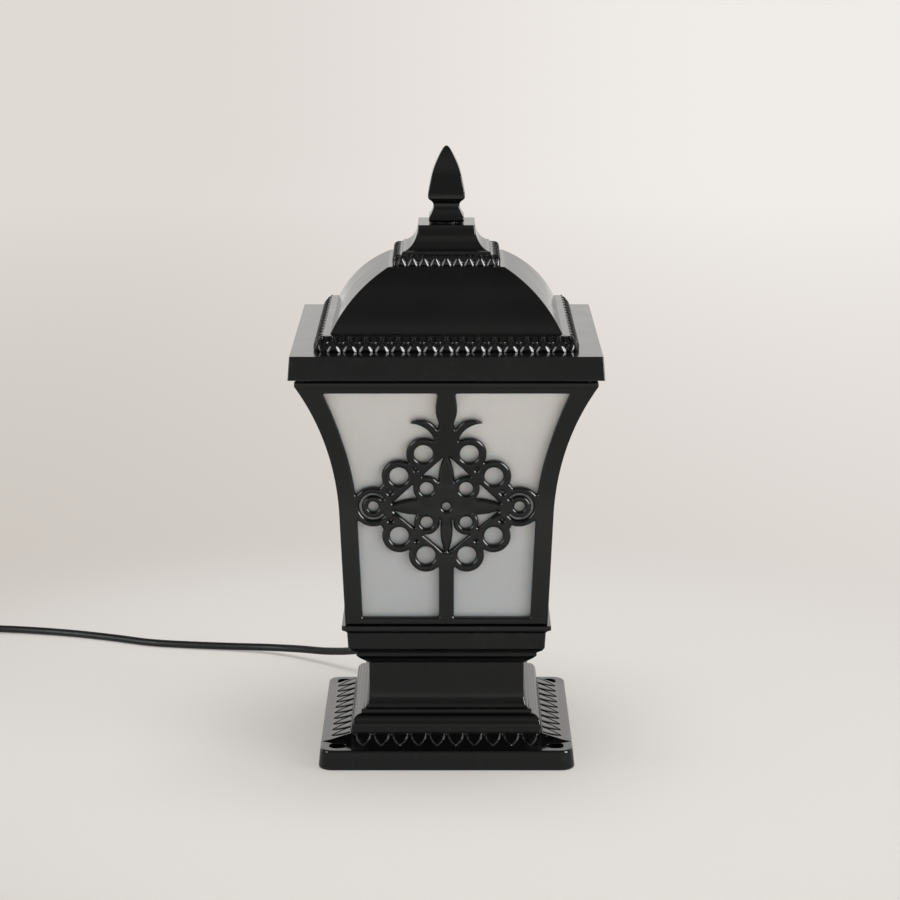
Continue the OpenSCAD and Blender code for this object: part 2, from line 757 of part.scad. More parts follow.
// Bent clips under the top flanges that hold the upper edges of the panes
module pane_clips() color("#b0b0b0") {
    four_sides() for (x = [-1, 1]) translate([x * clip_x - clip_w / 2, 0, 0]) {
        difference() {
            translate([0, -clip_w_out(), z_flange - sheet_t])
                cube([clip_w, clip_w_out() - top_flange_in, sheet_t]);
            translate([clip_w / 2, -clip_screw_w(), z_flange - sheet_t - cut])
                cylinder(d = screw_d + 2 * screw_gap, h = sheet_t + 2 * cut, $fn = 24);
        }
        translate([0, -clip_w_out(), z_flange - clip_drop])
            cube([clip_w, sheet_t, clip_drop - sheet_t]);
    }
}

module clip_screws() color("#9a9a9a") {
    four_sides() for (x = [-1, 1])
        translate([x * clip_x, -clip_screw_w(), z_flange - sheet_t])
            pan_screw(sheet_t + flange_t - 0.8);
}

// Flat strap between the left and right side castings that carries the tie rod
module bridge_strap() color("#b0b0b0") {
    reach = top_flange_in + 9;
    difference() {
        translate([-reach, -strap_w / 2, z_flange - strap_t]) cube([2 * reach, strap_w, strap_t]);
        translate([0, 0, z_flange - strap_t - cut])
            cylinder(d = rod_d + 2 * screw_gap, h = strap_t + 2 * cut);
        for (s = [-1, 1]) for (y = [-1, 1])
            translate([s * strap_screw_w(), y * strap_w / 4, z_flange - strap_t - cut])
                cylinder(d = screw_d + 2 * screw_gap, h = strap_t + 2 * cut, $fn = 24);
    }
}

module bridge_screws() color("#9a9a9a") {
    for (s = [-1, 1]) for (y = [-1, 1])
        translate([s * strap_screw_w(), y * strap_w / 4, z_flange - strap_t])
            pan_screw(strap_t + flange_t - 0.8);
}

// Threaded rod from the strap up through the roof into the finial
module tie_rod() color("#a8a8a8") {
    z0 = z_flange - strap_t - nut_h - rod_below;
    translate([0, 0, z0]) cylinder(d = rod_d, h = z_finial + rod_grip - z0);
}

// Nuts above and below the strap
module rod_nuts() color("#9a9a9a") {
    for (z = [z_flange - strap_t - nut_h, z_flange])
        translate([0, 0, z]) difference() {
            cylinder(d = nut_af / cos(30), h = nut_h, $fn = 6);
            translate([0, 0, -cut]) cylinder(d = rod_d + 2 * screw_gap, h = nut_h + 2 * cut);
        }
}

// Raised steel bracket under the lamp holder
module lamp_bracket() color("#c0c0c0") {
    difference() {
        union() {
            translate([-bracket_x, -bracket_y, z_holder - sheet_t])
                cube([2 * bracket_x, 2 * bracket_y, sheet_t]);
            for (s = [0, 1]) mirror([s, 0, 0]) {
                translate([bracket_x - sheet_t, -bracket_y, z_floor])
                    cube([sheet_t, 2 * bracket_y, bracket_rise]);
                translate([bracket_x - sheet_t, -bracket_y, z_floor])
                    cube([bracket_foot - bracket_x + sheet_t, 2 * bracket_y, sheet_t]);
            }
        }
        for (x = [-1, 1]) translate([x * bracket_screw_x(), 0, z_floor - cut])
            cylinder(d = screw_d + 2 * screw_gap, h = sheet_t + 2 * cut, $fn = 24);
    }
}

module bracket_screws() color("#9a9a9a") {
    for (x = [-1, 1]) translate([x * bracket_screw_x(), 0, z_floor + sheet_t])
        rotate([180, 0, 0]) pan_screw(sheet_t + 2.8);
}

// Glazed lamp holder, open at the top
module holder_body() color("#efece4") translate([0, 0, z_holder]) {
    r = holder_d / 2;
    rotate_extrude() polygon([[0, 0], [r - 6, 0], [r - 3, 2], [r - 3, 12], [r, 17],
        [r, holder_h - 2], [r - 1.5, holder_h], [r - 5, holder_h], [r - 5, holder_floor],
        [0, holder_floor]]);
}

// Brass screw shell inside the holder
module holder_shell() color("#c9a85a") translate([0, 0, z_holder + holder_floor]) {
    rotate_extrude() polygon([[shell_r - 4, 0], [holder_d / 2 - 5.1, 0], [holder_d / 2 - 5.1, 1],
        [shell_r + shell_t, 1], [shell_r + shell_t, holder_h - holder_floor - 4],
        [shell_r, holder_h - holder_floor - 4], [shell_r, 0.8], [shell_r - 4, 0.8]]);
}

// Sprung centre contact
module holder_contact() color("#c9a85a") translate([0, 0, z_holder + holder_floor]) {
    cylinder(d = 6, h = 1);
    translate([-1.5, -3, 0]) cube([3, 6, contact_h]);
}

// Terminal block on the tray floor
module terminal_block() color("#e8e6dc") {
    difference() {
        translate([-block_size.x / 2, block_back, z_floor]) cube(block_size);
        for (k = [-1, 0, 1]) {
            translate([k * wire_gap * 2, block_back - cut, wire_z]) rotate([-90, 0, 0])
                cylinder(r = wire_r + 0.3, h = block_size.y + 2 * cut, $fn = 24);
            for (y = [-1, 1])
                translate([k * wire_gap * 2, block_y + y * 4.5, wire_z + 2]) cylinder(d = 4.2, h = 12, $fn = 24);
        }
    }
}

module terminal_screws() color("#b8a060") {
    for (k = [-1, 0, 1]) for (y = [-1, 1])
        translate([k * wire_gap * 2, block_y + y * 4.5, wire_z + wire_r + 1.2]) cylinder(d = 4, h = 5, $fn = 24);
}

// Earth screw in the tray floor
module earth_screw() color("#c9a85a") {
    translate([earth_at.x, earth_at.y, z_floor + tag_t]) rotate([180, 0, 0])
        pan_screw(tag_t + tray_floor_t - 1.2);
}

// Flex inside the neck, from the grommet round a bend and up through the tray floor
module inner_flex() color("#1c1c1c") {
    translate([0, riser_y + bend_r, flex_z]) rotate([-90, 0, 0])
        cylinder(r = flex_r, h = grommet_out - riser_y - bend_r);
    translate([0, riser_y + bend_r, flex_z + bend_r]) rotate([0, 90, 0]) rotate([0, 0, -90])
        rotate_extrude(angle = 90) translate([bend_r, 0]) circle(r = flex_r, $fn = 24);
    translate([0, riser_y, flex_z + bend_r]) cylinder(r = flex_r, h = z_floor + 2 - flex_z - bend_r);
}

// Insulated wire through a few points
module wire(p, ref) tube(smooth(p), wire_r, 8, ref);

// Cores lie in a triangle inside the sheath
core_x = 1.25;
function core_y(k) = k == 0 ? 1.35 : -0.75;

// Core k from the end of the flex to the terminal block; the middle one passes over the others
module feed_core(k) {
    y0 = riser_y + core_y(k);
    up = k == 0 ? 1.6 : 0;
    wire([[k * core_x, y0, z_floor + 2.4], [k * core_x, y0, z_floor + 3.4],
        [k * core_x * 2, y0 - 0.8, z_floor + 4.8 + up],
        [k * core_x * 3, riser_y - 5.5, wire_z + up / 2], [k * wire_gap * 1.6, riser_y - 20, wire_z],
        [k * wire_gap * 2, block_front + 14, wire_z], [k * wire_gap * 2, block_front + 4, wire_z],
        [k * wire_gap * 2, block_front - 3, wire_z]], [1, 0, 0]);
}
module live_core() color("#7a4a2a") feed_core(-1);
module neutral_core() color("#2a5a9a") feed_core(0);
module earth_core() color("#7aa83a") feed_core(1);

// Lead k from the terminal block over its top to the lamp holder
module holder_lead(k) {
    top = z_floor + block_size.z + 5;
    wire([[k * wire_gap * 2, block_back + 3, wire_z], [k * wire_gap * 2, block_back - 1, wire_z],
        [k * wire_gap * 2, block_back - 4, wire_z + 4], [k * wire_gap * 1.8, block_back - 3, top - 3],
        [k * wire_gap * 1.4, block_back + 4, top + 1], [k * wire_gap, block_front, top + 1],
        [k * wire_gap * 0.8 + 2, -holder_d / 2 - 1, top - 1],
        [k * wire_gap * 0.8 + 2, -holder_d / 2 + 2.2, top - 1]], [1, 0, 0]);
}
module live_lead() color("#7a4a2a") holder_lead(-1);
module neutral_lead() color("#2a5a9a") holder_lead(0);
module earth_lead() color("#7aa83a") {
    wire([[wire_gap * 2, block_back + 3, wire_z], [wire_gap * 2, block_back - 1, wire_z],
        [wire_gap * 2 + 3, block_back - 3.6, wire_z], [wire_gap * 2 + 10, block_back - 3.6, wire_z - 1],
        [wire_gap * 2 + 18, block_back + 4, wire_z - 2], [earth_at.x, earth_at.y - 12, tag_z],
        [earth_at.x, earth_at.y - 8, tag_z], [earth_at.x, earth_at.y - tag_r - 0.1, tag_z]], [0, 0, 1]);
}

// Ring tag on the end of the earth lead
module earth_tag() color("#c9a85a") {
    translate([earth_at.x, earth_at.y, z_floor]) difference() {
        cylinder(r = tag_r, h = tag_t);
        translate([0, 0, -cut]) cylinder(d = screw_d + 2 * screw_gap, h = tag_t + 2 * cut, $fn = 24);
    }
}

// Rubber grommet where the flex leaves the back of the neck, with a tapered sleeve against bending
module flex_grommet() color("#161616") {
    lip_t = 1.5;
    body_l = base_wall + lip_t + seat_gap;
    translate([0, neck_in_w - lip_t, flex_z]) rotate([-90, 0, 0]) difference() {
        union() {
            cylinder(r = grommet_r + 1.5, h = lip_t);
            cylinder(r = grommet_r - screw_gap, h = body_l + screw_gap);
            translate([0, 0, body_l])
                cylinder(r1 = grommet_r + 1.5, r2 = flex_r + boot_tip, h = boot_l - seat_gap);
        }
        translate([0, 0, -cut])
            cylinder(r = flex_r + screw_gap, h = base_wall + boot_l + 2 * lip_t + cut);
    }
}

// Free flex from the grommet over the floor to the coil
module supply_flex() color("#1c1c1c") tube(smooth(route), flex_r, 8);

// Rest of the flex, wound in two layers
module flex_coil() color("#1c1c1c") tube(coil_path, flex_r, 6);

// Tie round the side of the coil
module flex_tie() color("#202020") {
    bundle_w = (layer_turns - 0.5) * coil_pitch + flex_d + 2 * tie_gap;
    bundle_h = coil_pitch + flex_d + 2 * tie_gap;
    translate([coil_c.x - coil_d / 2, coil_c.y - tie_w / 2, 0]) difference() {
        translate([-bundle_w / 2 - tie_t, 0, 0])
            cube([bundle_w + 2 * tie_t, tie_w, bundle_h + 2 * tie_t]);
        translate([-bundle_w / 2, -cut, tie_t]) cube([bundle_w, tie_w + 2 * cut, bundle_h]);
    }
}

// Three stripped cores at the free end
module flex_tails() color("#7a4a2a") {
    for (k = [-1, 0, 1])
        wire([for (p = [[0.1, 1, 1], [3, 1, 1], [12, 2.6, 0.8], [24, 4.4, 0.5]])
            coil_end + [p.x, p.y * k * core_x, p.z * core_y(k)]], [0, 0, 1]);
}

// Roof casting: brim, drop moulding, dome, small moulding and crown
module roof_casting() color("#242424") {
    dome_c = z_dome - dome_drop;
    outer = concat(
        [[brim_w, z_roof], [brim_w - brim_draft, z_brim], [plinth_w + 1.4, z_brim],
            [plinth_w + 2.3, z_brim + 0.38 * plinth_h], [plinth_w + 1.6, z_brim + 0.72 * plinth_h],
            [plinth_w - 0.4, z_dome]],
        [for (i = [0:8]) let (z = z_dome + dome_h * sin(90 * i / 8))
            [sqrt(pow(dome_r, 2) - pow(z - dome_c, 2)), z]],
        [[bead_w, z_bead], [bead_w + 1, z_bead + 0.45 * bead_h], [bead_w + 0.6, z_bead + 0.8 * bead_h],
            [bead_w - 1, z_crown], [step_w, z_crown + 0.6]],
        [for (a = [0:18:90]) [step_w - (step_w - crown_w) * sin(a),
            z_crown + 1.2 + (crown_h - 1.2) * (1 - cos(a))]]);
    inner = concat(
        [[seat_rib_in, z_roof - cut], [seat_rib_in, z_brim - roof_wall],
            [plinth_w - roof_wall, z_brim - roof_wall], [plinth_w - roof_wall, z_dome - 5]],
        [for (i = [0:5]) let (z = z_dome - 5 + (dome_h + 1) * sin(90 * i / 5))
            [sqrt(pow(dome_r - roof_wall, 2) - pow(z - dome_c, 2)), z]],
        [[crown_w - 3, z_bead - 2], [crown_w - 5, z_crown]]);
    difference() {
        union() {
            square_turn(outer);
            drop_row(drop_w, drop_count, drop_r, z_brim, plinth_h);
            drop_row(bead_w, bead_count, bead_r, z_bead, bead_h);
        }
        square_turn(inner);
        difference() {
            translate([-brim_w + roof_wall, -brim_w + roof_wall, z_roof - cut])
                cube([2 * (brim_w - roof_wall), 2 * (brim_w - roof_wall), brim_h - roof_wall + cut]);
            translate([-seat_rib_out, -seat_rib_out, z_roof - 2 * cut])
                cube([2 * seat_rib_out, 2 * seat_rib_out, brim_h + 3 * cut]);
        }
        translate([0, 0, z_bead]) cylinder(d = rod_d + 2 * rod_gap, h = far / 2);
    }
}

// Upright drops in a square row, shared at the corners, each a ball that narrows upwards
module drop_row(w, count, r, z, h) {
    four_sides() for (k = [0:count - 1]) translate([-w + 2 * w * k / count, -w, z + r]) {
        sphere(r = r, $fn = 24);
        cylinder(r1 = 0.96 * r, r2 = drop_tip * r, h = h - 1.05 * r, $fn = 24);
    }
}

// Seal glued under the roof
module roof_seal() color("#181818") {
    translate([0, 0, z_roof - seal_t]) linear_extrude(height = seal_t) difference() {
        square(2 * seat_rib_out, center = true);
        square(2 * seat_rib_in, center = true);
    }
}

// Washer under the finial
module finial_washer() color("#303030") {
    translate([0, 0, z_top]) difference() {
        cylinder(r = finial_size / 2 - 1.5, h = washer_t);
        translate([0, 0, -cut]) cylinder(d = rod_d + 2 * rod_gap, h = washer_t + 2 * cut);
    }
}

// Square pointed finial that screws on the tie rod
module finial() color("#242424") {
    foot = finial_size / 2;
    mean = (foot + finial_waist / 2) / 2;
    swing = (foot - finial_waist / 2) / 2;
    steps = 9;
    translate([0, 0, z_finial]) difference() {
        square_turn(concat(
            [[foot, 0], [foot, finial_foot_h]],
            [for (a = [30:30:360]) [mean + swing * cos(a), finial_foot_h + finial_waist_h * a / 360]],
            [for (i = [1:steps]) let (t = i / steps)
                [max(foot * pow(1 - pow(t, 1.7), 0.75), 0.2),
                    finial_foot_h + finial_waist_h + finial_bud_h * t]]));
        translate([0, 0, -cut]) cylinder(d = rod_d + 2 * run_gap, h = rod_grip + rod_top_gap + cut);
    }
}

// Opal dome of the bulb
module bulb_globe() color("#f4f4f0") translate([0, 0, z_globe]) {
    r = bulb_d / 2;
    rim = 5;
    up = r * sin(rim);
    rotate_extrude() polygon(concat([[0, 0]],
        [for (a = [-rim:8:90 - rim]) [r * cos(a), up + r * sin(a)]], [[0, up + r]]));
}

// Moulded lower housing of the bulb
module bulb_body() color("#e6e6e2") translate([0, 0, z_bulb_body]) {
    r = bulb_d / 2;
    neck_r = cap_d / 2 + 0.9;
    rotate_extrude() polygon(concat([[0, 0], [neck_r, 0]],
        [for (i = [1:8]) let (t = i / 8) [neck_r + (r - 0.4 - neck_r) * (0.5 - 0.5 * cos(180 * t)),
            3 + (bulb_body_h - 4) * t]], [[r - 0.4, bulb_body_h], [0, bulb_body_h]]));
}

// Screw cap of the bulb
module bulb_cap() color("#c8c8c8") translate([0, 0, z_cap]) cylinder(d = cap_d, h = cap_h);

// Black insulator under the cap
module bulb_insulator() color("#202020") translate([0, 0, z_bulb + tip_h])
    cylinder(r1 = 5.5, r2 = 11, h = insulator_h);

// Centre contact of the bulb
module bulb_contact() color("#c8c8c8") translate([0, 0, z_bulb]) cylinder(r = 4, h = tip_h);

base_casting();
tray_casting();
tray_bolts();
frame_front();
frame_right();
frame_back();
frame_left();
frame_screws();
corner_plates();
corner_screws();
pane_front();
pane_right();
pane_back();
pane_left();
pane_clips();
clip_screws();
bridge_strap();
bridge_screws();
tie_rod();
rod_nuts();
lamp_bracket();
bracket_screws();
holder_body();
holder_shell();
holder_contact();
terminal_block();
terminal_screws();
earth_screw();
inner_flex();
live_core();
neutral_core();
earth_core();
live_lead();
neutral_lead();
earth_lead();
earth_tag();
flex_grommet();
supply_flex();
flex_coil();
flex_tie();
flex_tails();
roof_casting();
roof_seal();
finial_washer();
finial();
bulb_globe();
bulb_body();
bulb_cap();
bulb_insulator();
bulb_contact();
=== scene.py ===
"""Post top lantern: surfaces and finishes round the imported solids.

Shapes are written in millimetres in the solids' own frame, and become metres when a piece is made.
"""

import math

import bmesh
import bpy
import numpy as np
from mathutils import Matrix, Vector, geometry, kdtree


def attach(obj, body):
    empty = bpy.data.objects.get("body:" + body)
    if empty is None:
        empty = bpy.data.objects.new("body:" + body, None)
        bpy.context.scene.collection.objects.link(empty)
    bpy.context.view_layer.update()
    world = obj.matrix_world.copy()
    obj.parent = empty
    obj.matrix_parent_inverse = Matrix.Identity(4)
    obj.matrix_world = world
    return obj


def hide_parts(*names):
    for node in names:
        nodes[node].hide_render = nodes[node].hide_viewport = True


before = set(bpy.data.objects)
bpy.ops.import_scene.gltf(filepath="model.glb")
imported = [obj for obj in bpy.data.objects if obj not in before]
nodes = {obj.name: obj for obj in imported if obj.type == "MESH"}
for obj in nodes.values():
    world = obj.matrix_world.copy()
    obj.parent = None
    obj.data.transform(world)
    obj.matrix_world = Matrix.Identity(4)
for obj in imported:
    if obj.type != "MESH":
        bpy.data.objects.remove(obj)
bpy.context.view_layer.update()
MM = 0.001
LANTERN, ROOF, FINIAL, BULB = "lantern_body", "roof", "finial", "bulb"
QUARTERS = ((1, 0), (0, 1), (-1, 0), (0, -1))  # cosine and sine of each quarter of a turn


def link(name, data):
    """New object of the data, in the scene."""
    obj = bpy.data.objects.new(name, data)
    bpy.context.scene.collection.objects.link(obj)
    return obj


# ---- Camera: 1.76 m in front of the lantern, 0.58 m up, looking 12.6 degrees down

camera = link("camera", bpy.data.cameras.new("camera"))
camera.location = (0.0022, -1.763, 0.580)
camera.rotation_euler = (math.radians(90 - 12.58), 0, 0)
camera.data.lens = 113.88
camera.data.sensor_width = 36
bpy.context.scene.camera = camera

# ---- Heights and sizes shared with the solids

FLEX_R = 2.6
FLEX_Z = 47.5
Z_FLOOR = 65.0
Z_TRAY = 89.1
Z_SIDE = 248.4
Z_FRET = 165.3
Z_WINDOW, Z_WINDOW_TOP = 94.0, 240.5
Z_FLANGE = 245.4
Z_ROOF = 249.9
Z_BRIM = 264.4
Z_DOME = 273.6
Z_BEAD = 309.5
Z_CROWN = 316.4
Z_TOP = 332.7
Z_FINIAL = 333.5
SIDE_T = 4.0
PANE_FRONT, PANE_BACK = 4.3, 6.8
LEAN = math.radians(2.52)
Z_STRAIGHT = 160.0
FLARE_R = 184.0
FLARE_END = math.radians(30.6)
STRAIGHT_W = 62.7 + 70.9 * math.tan(LEAN)
FLARE_CX = STRAIGHT_W + FLARE_R * math.cos(LEAN)
FLARE_CZ = Z_STRAIGHT - FLARE_R * math.sin(LEAN)


def face_w(z, off=0.0):
    """Half width of a side's outer face at height z, moved inwards by off."""
    z = np.asarray(z, float)
    r = FLARE_R + off
    curve = np.clip(z - FLARE_CZ, 0, r * math.sin(FLARE_END))
    low = STRAIGHT_W - (Z_STRAIGHT - z) * math.tan(LEAN) - off / math.cos(LEAN)
    return np.where(z < Z_STRAIGHT, low, FLARE_CX - np.sqrt(r * r - curve * curve))


TOP_W = float(face_w(Z_FLANGE))


def face_lean(z):
    """Angle of the face from upright at height z."""
    z = np.asarray(z, float)
    angle = np.arcsin(np.clip((z - FLARE_CZ) / FLARE_R, -1, math.sin(FLARE_END)))
    return np.where(z < Z_STRAIGHT, LEAN, np.where(z > 245.5, 0.0, angle))


def unit(x):
    """x kept between 0 and 1."""
    return np.clip(x, 0, 1)


# ---- Surfaces

class Shell:
    """Points in millimetres, faces and edge wear of one piece, gathered from several surfaces."""

    def __init__(self):
        self.co, self.faces, self.edge, self.slots, self.count = [], [], [], [], 0

    def add(self, co, faces, edge=0.0, slot=0):
        co = np.asarray(co, float).reshape(-1, 3)
        self.co.append(co)
        self.edge.append(np.broadcast_to(np.asarray(edge, float).reshape(-1), (len(co),)))
        self.faces += [tuple(self.count + i for i in f) for f in faces]
        self.slots += [slot] * len(faces)
        self.count += len(co)
        return self

    def rings(self, rings, wrap=True, loop=False, caps=(False, False), edge=0.0, slot=0):
        """Quads between rings of equally many points."""
        rings = np.asarray(rings, float)
        n, m = rings.shape[:2]
        faces = []
        for i in range(n if loop else n - 1):
            a, b = i * m, (i + 1) % n * m
            for k in range(m if wrap else m - 1):
                j = (k + 1) % m
                faces.append((a + k, a + j, b + j, b + k))
        if caps[0]:
            faces.append(tuple(range(m))[::-1])
        if caps[1]:
            faces.append(tuple(range((n - 1) * m, n * m)))
        edge = np.repeat(np.broadcast_to(np.asarray(edge, float), (n,)), m)
        return self.add(rings.reshape(-1, 3), faces, edge, slot)

    def turned(self, quarter):
        """The same surfaces, turned by quarters of a turn about Z."""
        c, s = QUARTERS[quarter]
        x, y, z = np.concatenate(self.co).T
        co = np.stack([c * x - s * y, s * x + c * y, z], 1)
        out = Shell().add(co, self.faces, np.concatenate(self.edge))
        out.slots = list(self.slots)
        return out


def piece(name, shell, body, material, *stands_for, angle=35, weighted=True):
    """Makes the shell an object that rides on a body, stands for CAD nodes and fills a slot."""
    materials = material if isinstance(material, list) else [material]
    mesh = bpy.data.meshes.new(name)
    mesh.from_pydata((np.concatenate(shell.co) * MM).tolist(), [], shell.faces)
    mesh.attributes.new("edge", "FLOAT", "POINT").data.foreach_set(
        "value", np.concatenate(shell.edge).astype(np.float32))
    for m in materials:
        mesh.materials.append(m)
    mesh.polygons.foreach_set("material_index", shell.slots)
    bm = bmesh.new()
    bm.from_mesh(mesh)
    bmesh.ops.remove_doubles(bm, verts=bm.verts, dist=1e-6)
    bmesh.ops.recalc_face_normals(bm, faces=bm.faces)
    bm.to_mesh(mesh)
    bm.free()
    mesh.shade_smooth()
    mesh.set_sharp_from_angle(angle=math.radians(angle))
    obj = link(name, mesh)
    if weighted:
        even = obj.modifiers.new("even", "WEIGHTED_NORMAL")
        even.keep_sharp = True
        even.weight = 75
    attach(obj, body)
    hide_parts(*stands_for)
    return obj


def soften(points, radius=0.5, steps=3, loop=False):
    """Half outline with each bend rounded; a point is (w, z) or (w, z, radius).
    Returns (w, z, 1 on a bend or else 0)."""
    out, n = [], len(points)
    for i, p in enumerate(points):
        r = p[2] if len(p) > 2 else radius
        b = np.array(p[:2], float)
        if r <= 0 or (not loop and i in (0, n - 1)):
            out.append((*b, 0.0))
            continue
        u, v = np.array(points[i - 1][:2], float) - b, np.array(points[(i + 1) % n][:2], float) - b
        lu, lv = np.linalg.norm(u), np.linalg.norm(v)
        half = math.acos(max(-1, min(1, u @ v / (lu * lv)))) / 2
        reach = min(r / math.tan(half), 0.45 * lu, 0.45 * lv)
        for k in range(steps + 1):
            t = k / steps
            q = (1 - t) ** 2 * (b + u / lu * reach) + 2 * t * (1 - t) * b + t * t * (b + v / lv * reach)
            out.append((*q, 1.0))
    return out


def square_ring(w, z, corner, per_side=1, per_corner=4):
    """Ring of a square with half width w and rounded corners; a corner radius of w makes it round."""
    corner = min(corner, w)
    flat = w - corner
    pts = []
    for c, s in QUARTERS:
        quarter = [(-flat + 2 * flat * i / per_side, -w) for i in range(1, per_side)]
        for j in range(per_corner + 1):
            a = -math.pi / 2 + math.pi / 2 * j / per_corner
            quarter.append((flat + corner * math.cos(a), -flat + corner * math.sin(a)))
        pts += [(c * x - s * y, s * x + c * y, z) for x, y in quarter]
    return pts


def square_loft(shell, outline, corner=1.0, per_side=1, per_corner=4, **more):
    """Square body along a softened outline; corner is a radius or a function of (w, z)."""
    pick = corner if callable(corner) else lambda w, z: corner
    return shell.rings([square_ring(w, z, pick(w, z), per_side, per_corner) for w, z, _ in outline],
                       edge=[e for _, _, e in outline], **more)


def frame_of(axis):
    """Two directions square to an axis, and the axis."""
    axis = Vector(axis).normalized()
    u = axis.orthogonal().normalized()
    return u, axis.cross(u), axis


def lathe(shell, outline, centre=(0, 0, 0), axis=(0, 0, 1), sides=48, shape=None, **more):
    """Round body of (radius, height) along an axis; shape changes the radius by angle and height."""
    u, v, a = frame_of(axis)
    rings = []
    for p in outline:
        ring = []
        for k in range(sides):
            t = 2 * math.pi * k / sides
            r = shape(t, p[0], p[1]) if shape else p[0]
            ring.append(tuple(Vector(centre) + a * p[1] + (u * math.cos(t) + v * math.sin(t)) * r))
        rings.append(ring)
    more.setdefault("edge", [p[2] if len(p) > 2 else 0.0 for p in outline])
    return shell.rings(rings, **more)


def thread(shell, r_root, r_crest, start, end, pitch, centre=(0, 0, 0), axis=(0, 0, 1), sides=24,
           steps=6, round_crest=False, caps=(True, True)):
    """Helical thread between two heights; it fades out at both ends."""
    n = max(4, int(round((end - start) / pitch * steps)))

    def shape(t, r, z):
        phase = ((z - start) / pitch - t / (2 * math.pi)) % 1.0
        wave = 0.5 - 0.5 * math.cos(2 * math.pi * phase) if round_crest else 1 - abs(2 * phase - 1)
        fade = min(1.0, (z - start) / pitch, (end - z) / pitch)
        return r_root + (r_crest - r_root) * wave * max(0.0, fade)

    outline = [(r_root, start + (end - start) * i / n) for i in range(n + 1)]
    return lathe(shell, outline, centre, axis, sides, shape, caps=caps)


def screw(shell, centre, axis, length, shaft=3.9, head=7.2, head_h=2.4, slotted=False):
    """Pan-headed screw; centre is under the head and axis points along the shank."""
    arm, reach = (0.5, 0.6 * head) if slotted else (0.42, 0.23 * head)
    sides, r, depth = 32, head / 2, 0.45 * head_h

    def recess(x, y):
        cross = (abs(x) < arm and abs(y) < reach) or (not slotted and abs(y) < arm and abs(x) < reach)
        return depth if cross else 0.0

    u, v, a = frame_of(axis)
    outline = [(shaft / 2, 0), (r, 0), (r, -0.35 * head_h)]
    outline += [(r * math.cos(t), -head_h * (0.35 + 0.65 * math.sin(t)))
                for t in np.linspace(0.25, math.pi / 2, 8)[:-1]]
    outline += [(0.3 * r, -head_h), (0.17 * r, -head_h), (0.08 * r, -head_h)]
    rings = []
    for radius, h in outline:
        ring = []
        for k in range(sides):
            t = 2 * math.pi * k / sides
            x, y = radius * math.cos(t), radius * math.sin(t)
            dip = recess(x, y) if radius < 0.9 * r else 0.0
            ring.append(tuple(Vector(centre) + a * (h + dip) + u * x + v * y))
        rings.append(ring)
    shell.rings(rings, caps=(False, True))
    return thread(shell, 0.78 * shaft / 2, shaft / 2, 0.0, length, 0.32 * shaft, centre, axis, 12, 4)


def hexagon(shell, centre, axis, across, height, bore=0.0, sides=48):
    """Chamfered hexagon head or nut from 0 to height along the axis."""
    def shape(t, r, z):
        flat = 0.5 * across / math.cos((t + math.pi / 6) % (math.pi / 3) - math.pi / 6)
        end = min(1.0, min(z, height - z) / (0.16 * height))
        return min(flat, 0.5 * across * (1.06 + 0.13 * end))

    rows = [(1.0, share * height) for share in (0, 0.08, 0.16, 0.84, 0.92, 1)]
    if not bore:
        return lathe(shell, rows, centre, axis, sides, shape, caps=(True, True))
    nut = lathe(Shell(), rows, centre, axis, sides, shape)
    hole = [(bore + 0.4, 0), (bore, 0.4), (bore, height - 0.4), (bore + 0.4, height)]
    lathe(nut, hole, centre, axis, sides)
    faces, outside = list(nut.faces), len(rows)
    for a, b in ((0, outside), (outside - 1, outside + len(hole) - 1)):
        faces += [(a * sides + k, a * sides + (k + 1) % sides, b * sides + (k + 1) % sides, b * sides + k)
                  for k in range(sides)]
    return shell.add(np.concatenate(nut.co), faces)


def tube(shell, path, radius, sides=16, slot=0):
    """Round tube along points, with closed ends."""
    p = np.asarray(path, float)
    t = np.gradient(p, axis=0)
    t /= np.linalg.norm(t, axis=1)[:, None]
    u = np.cross(t[0], (0, 0, 1) if abs(t[0][2]) < 0.9 else (1, 0, 0))
    angles = np.linspace(0, 2 * math.pi, sides, endpoint=False)
    rings = []
    for i in range(len(p)):
        u = u - t[i] * (u @ t[i])
        u /= np.linalg.norm(u)
        v = np.cross(t[i], u)
        ring = p[i] + radius * (np.cos(angles)[:, None] * u + np.sin(angles)[:, None] * v)
        rings.append(ring)
        if i in (0, len(p) - 1):
            out = -1 if i == 0 else 1
            eased = p[i] + 0.75 * (ring - p[i]) + out * t[i] * 0.18 * radius
            rings.insert(0 if i == 0 else len(rings), eased)
    return shell.rings(rings, caps=(True, True), slot=slot)


def smooth_route(points, steps=6):
    """Catmull-Rom curve through points."""
    p = [np.array(q, float) for q in points]
    out = []
    for i in range(len(p) - 1):
        a, b, c, d = p[max(i - 1, 0)], p[i], p[i + 1], p[min(i + 2, len(p) - 1)]
        for k in range(steps):
            t = k / steps
            out.append(0.5 * (2 * b + (c - a) * t + (2 * a - 5 * b + 4 * c - d) * t * t
                              + (3 * b - a - 3 * c + d) * t ** 3))
    return out + [p[-1]]


def triangles(loops, keep, fill=()):
    """Flat triangles over loops and fill points; keep picks them by their middles."""
    pts, edges = [], []
    for l in loops:
        n = len(pts)
        pts += [Vector(p[:2]) for p in l]
        edges += [(n + i, n + (i + 1) % len(l)) for i in range(len(l))]
    pts += [Vector(p) for p in fill]
    co, _, faces, *_ = geometry.delaunay_2d_cdt(pts, edges, [], 0, 1e-5)
    co, faces = np.array([tuple(c) for c in co]), np.array([tuple(f) for f in faces])
    return co, faces[keep(*co[faces].mean(1).T)]


# ---- Finishes

def connect(tree, socket, value):
    """Gives an input a number, a vector, a colour or another node's output."""
    if isinstance(value, bpy.types.NodeSocket):
        tree.links.new(value, socket)
    else:
        socket.default_value = (*value, 1) if socket.type == "RGBA" else value


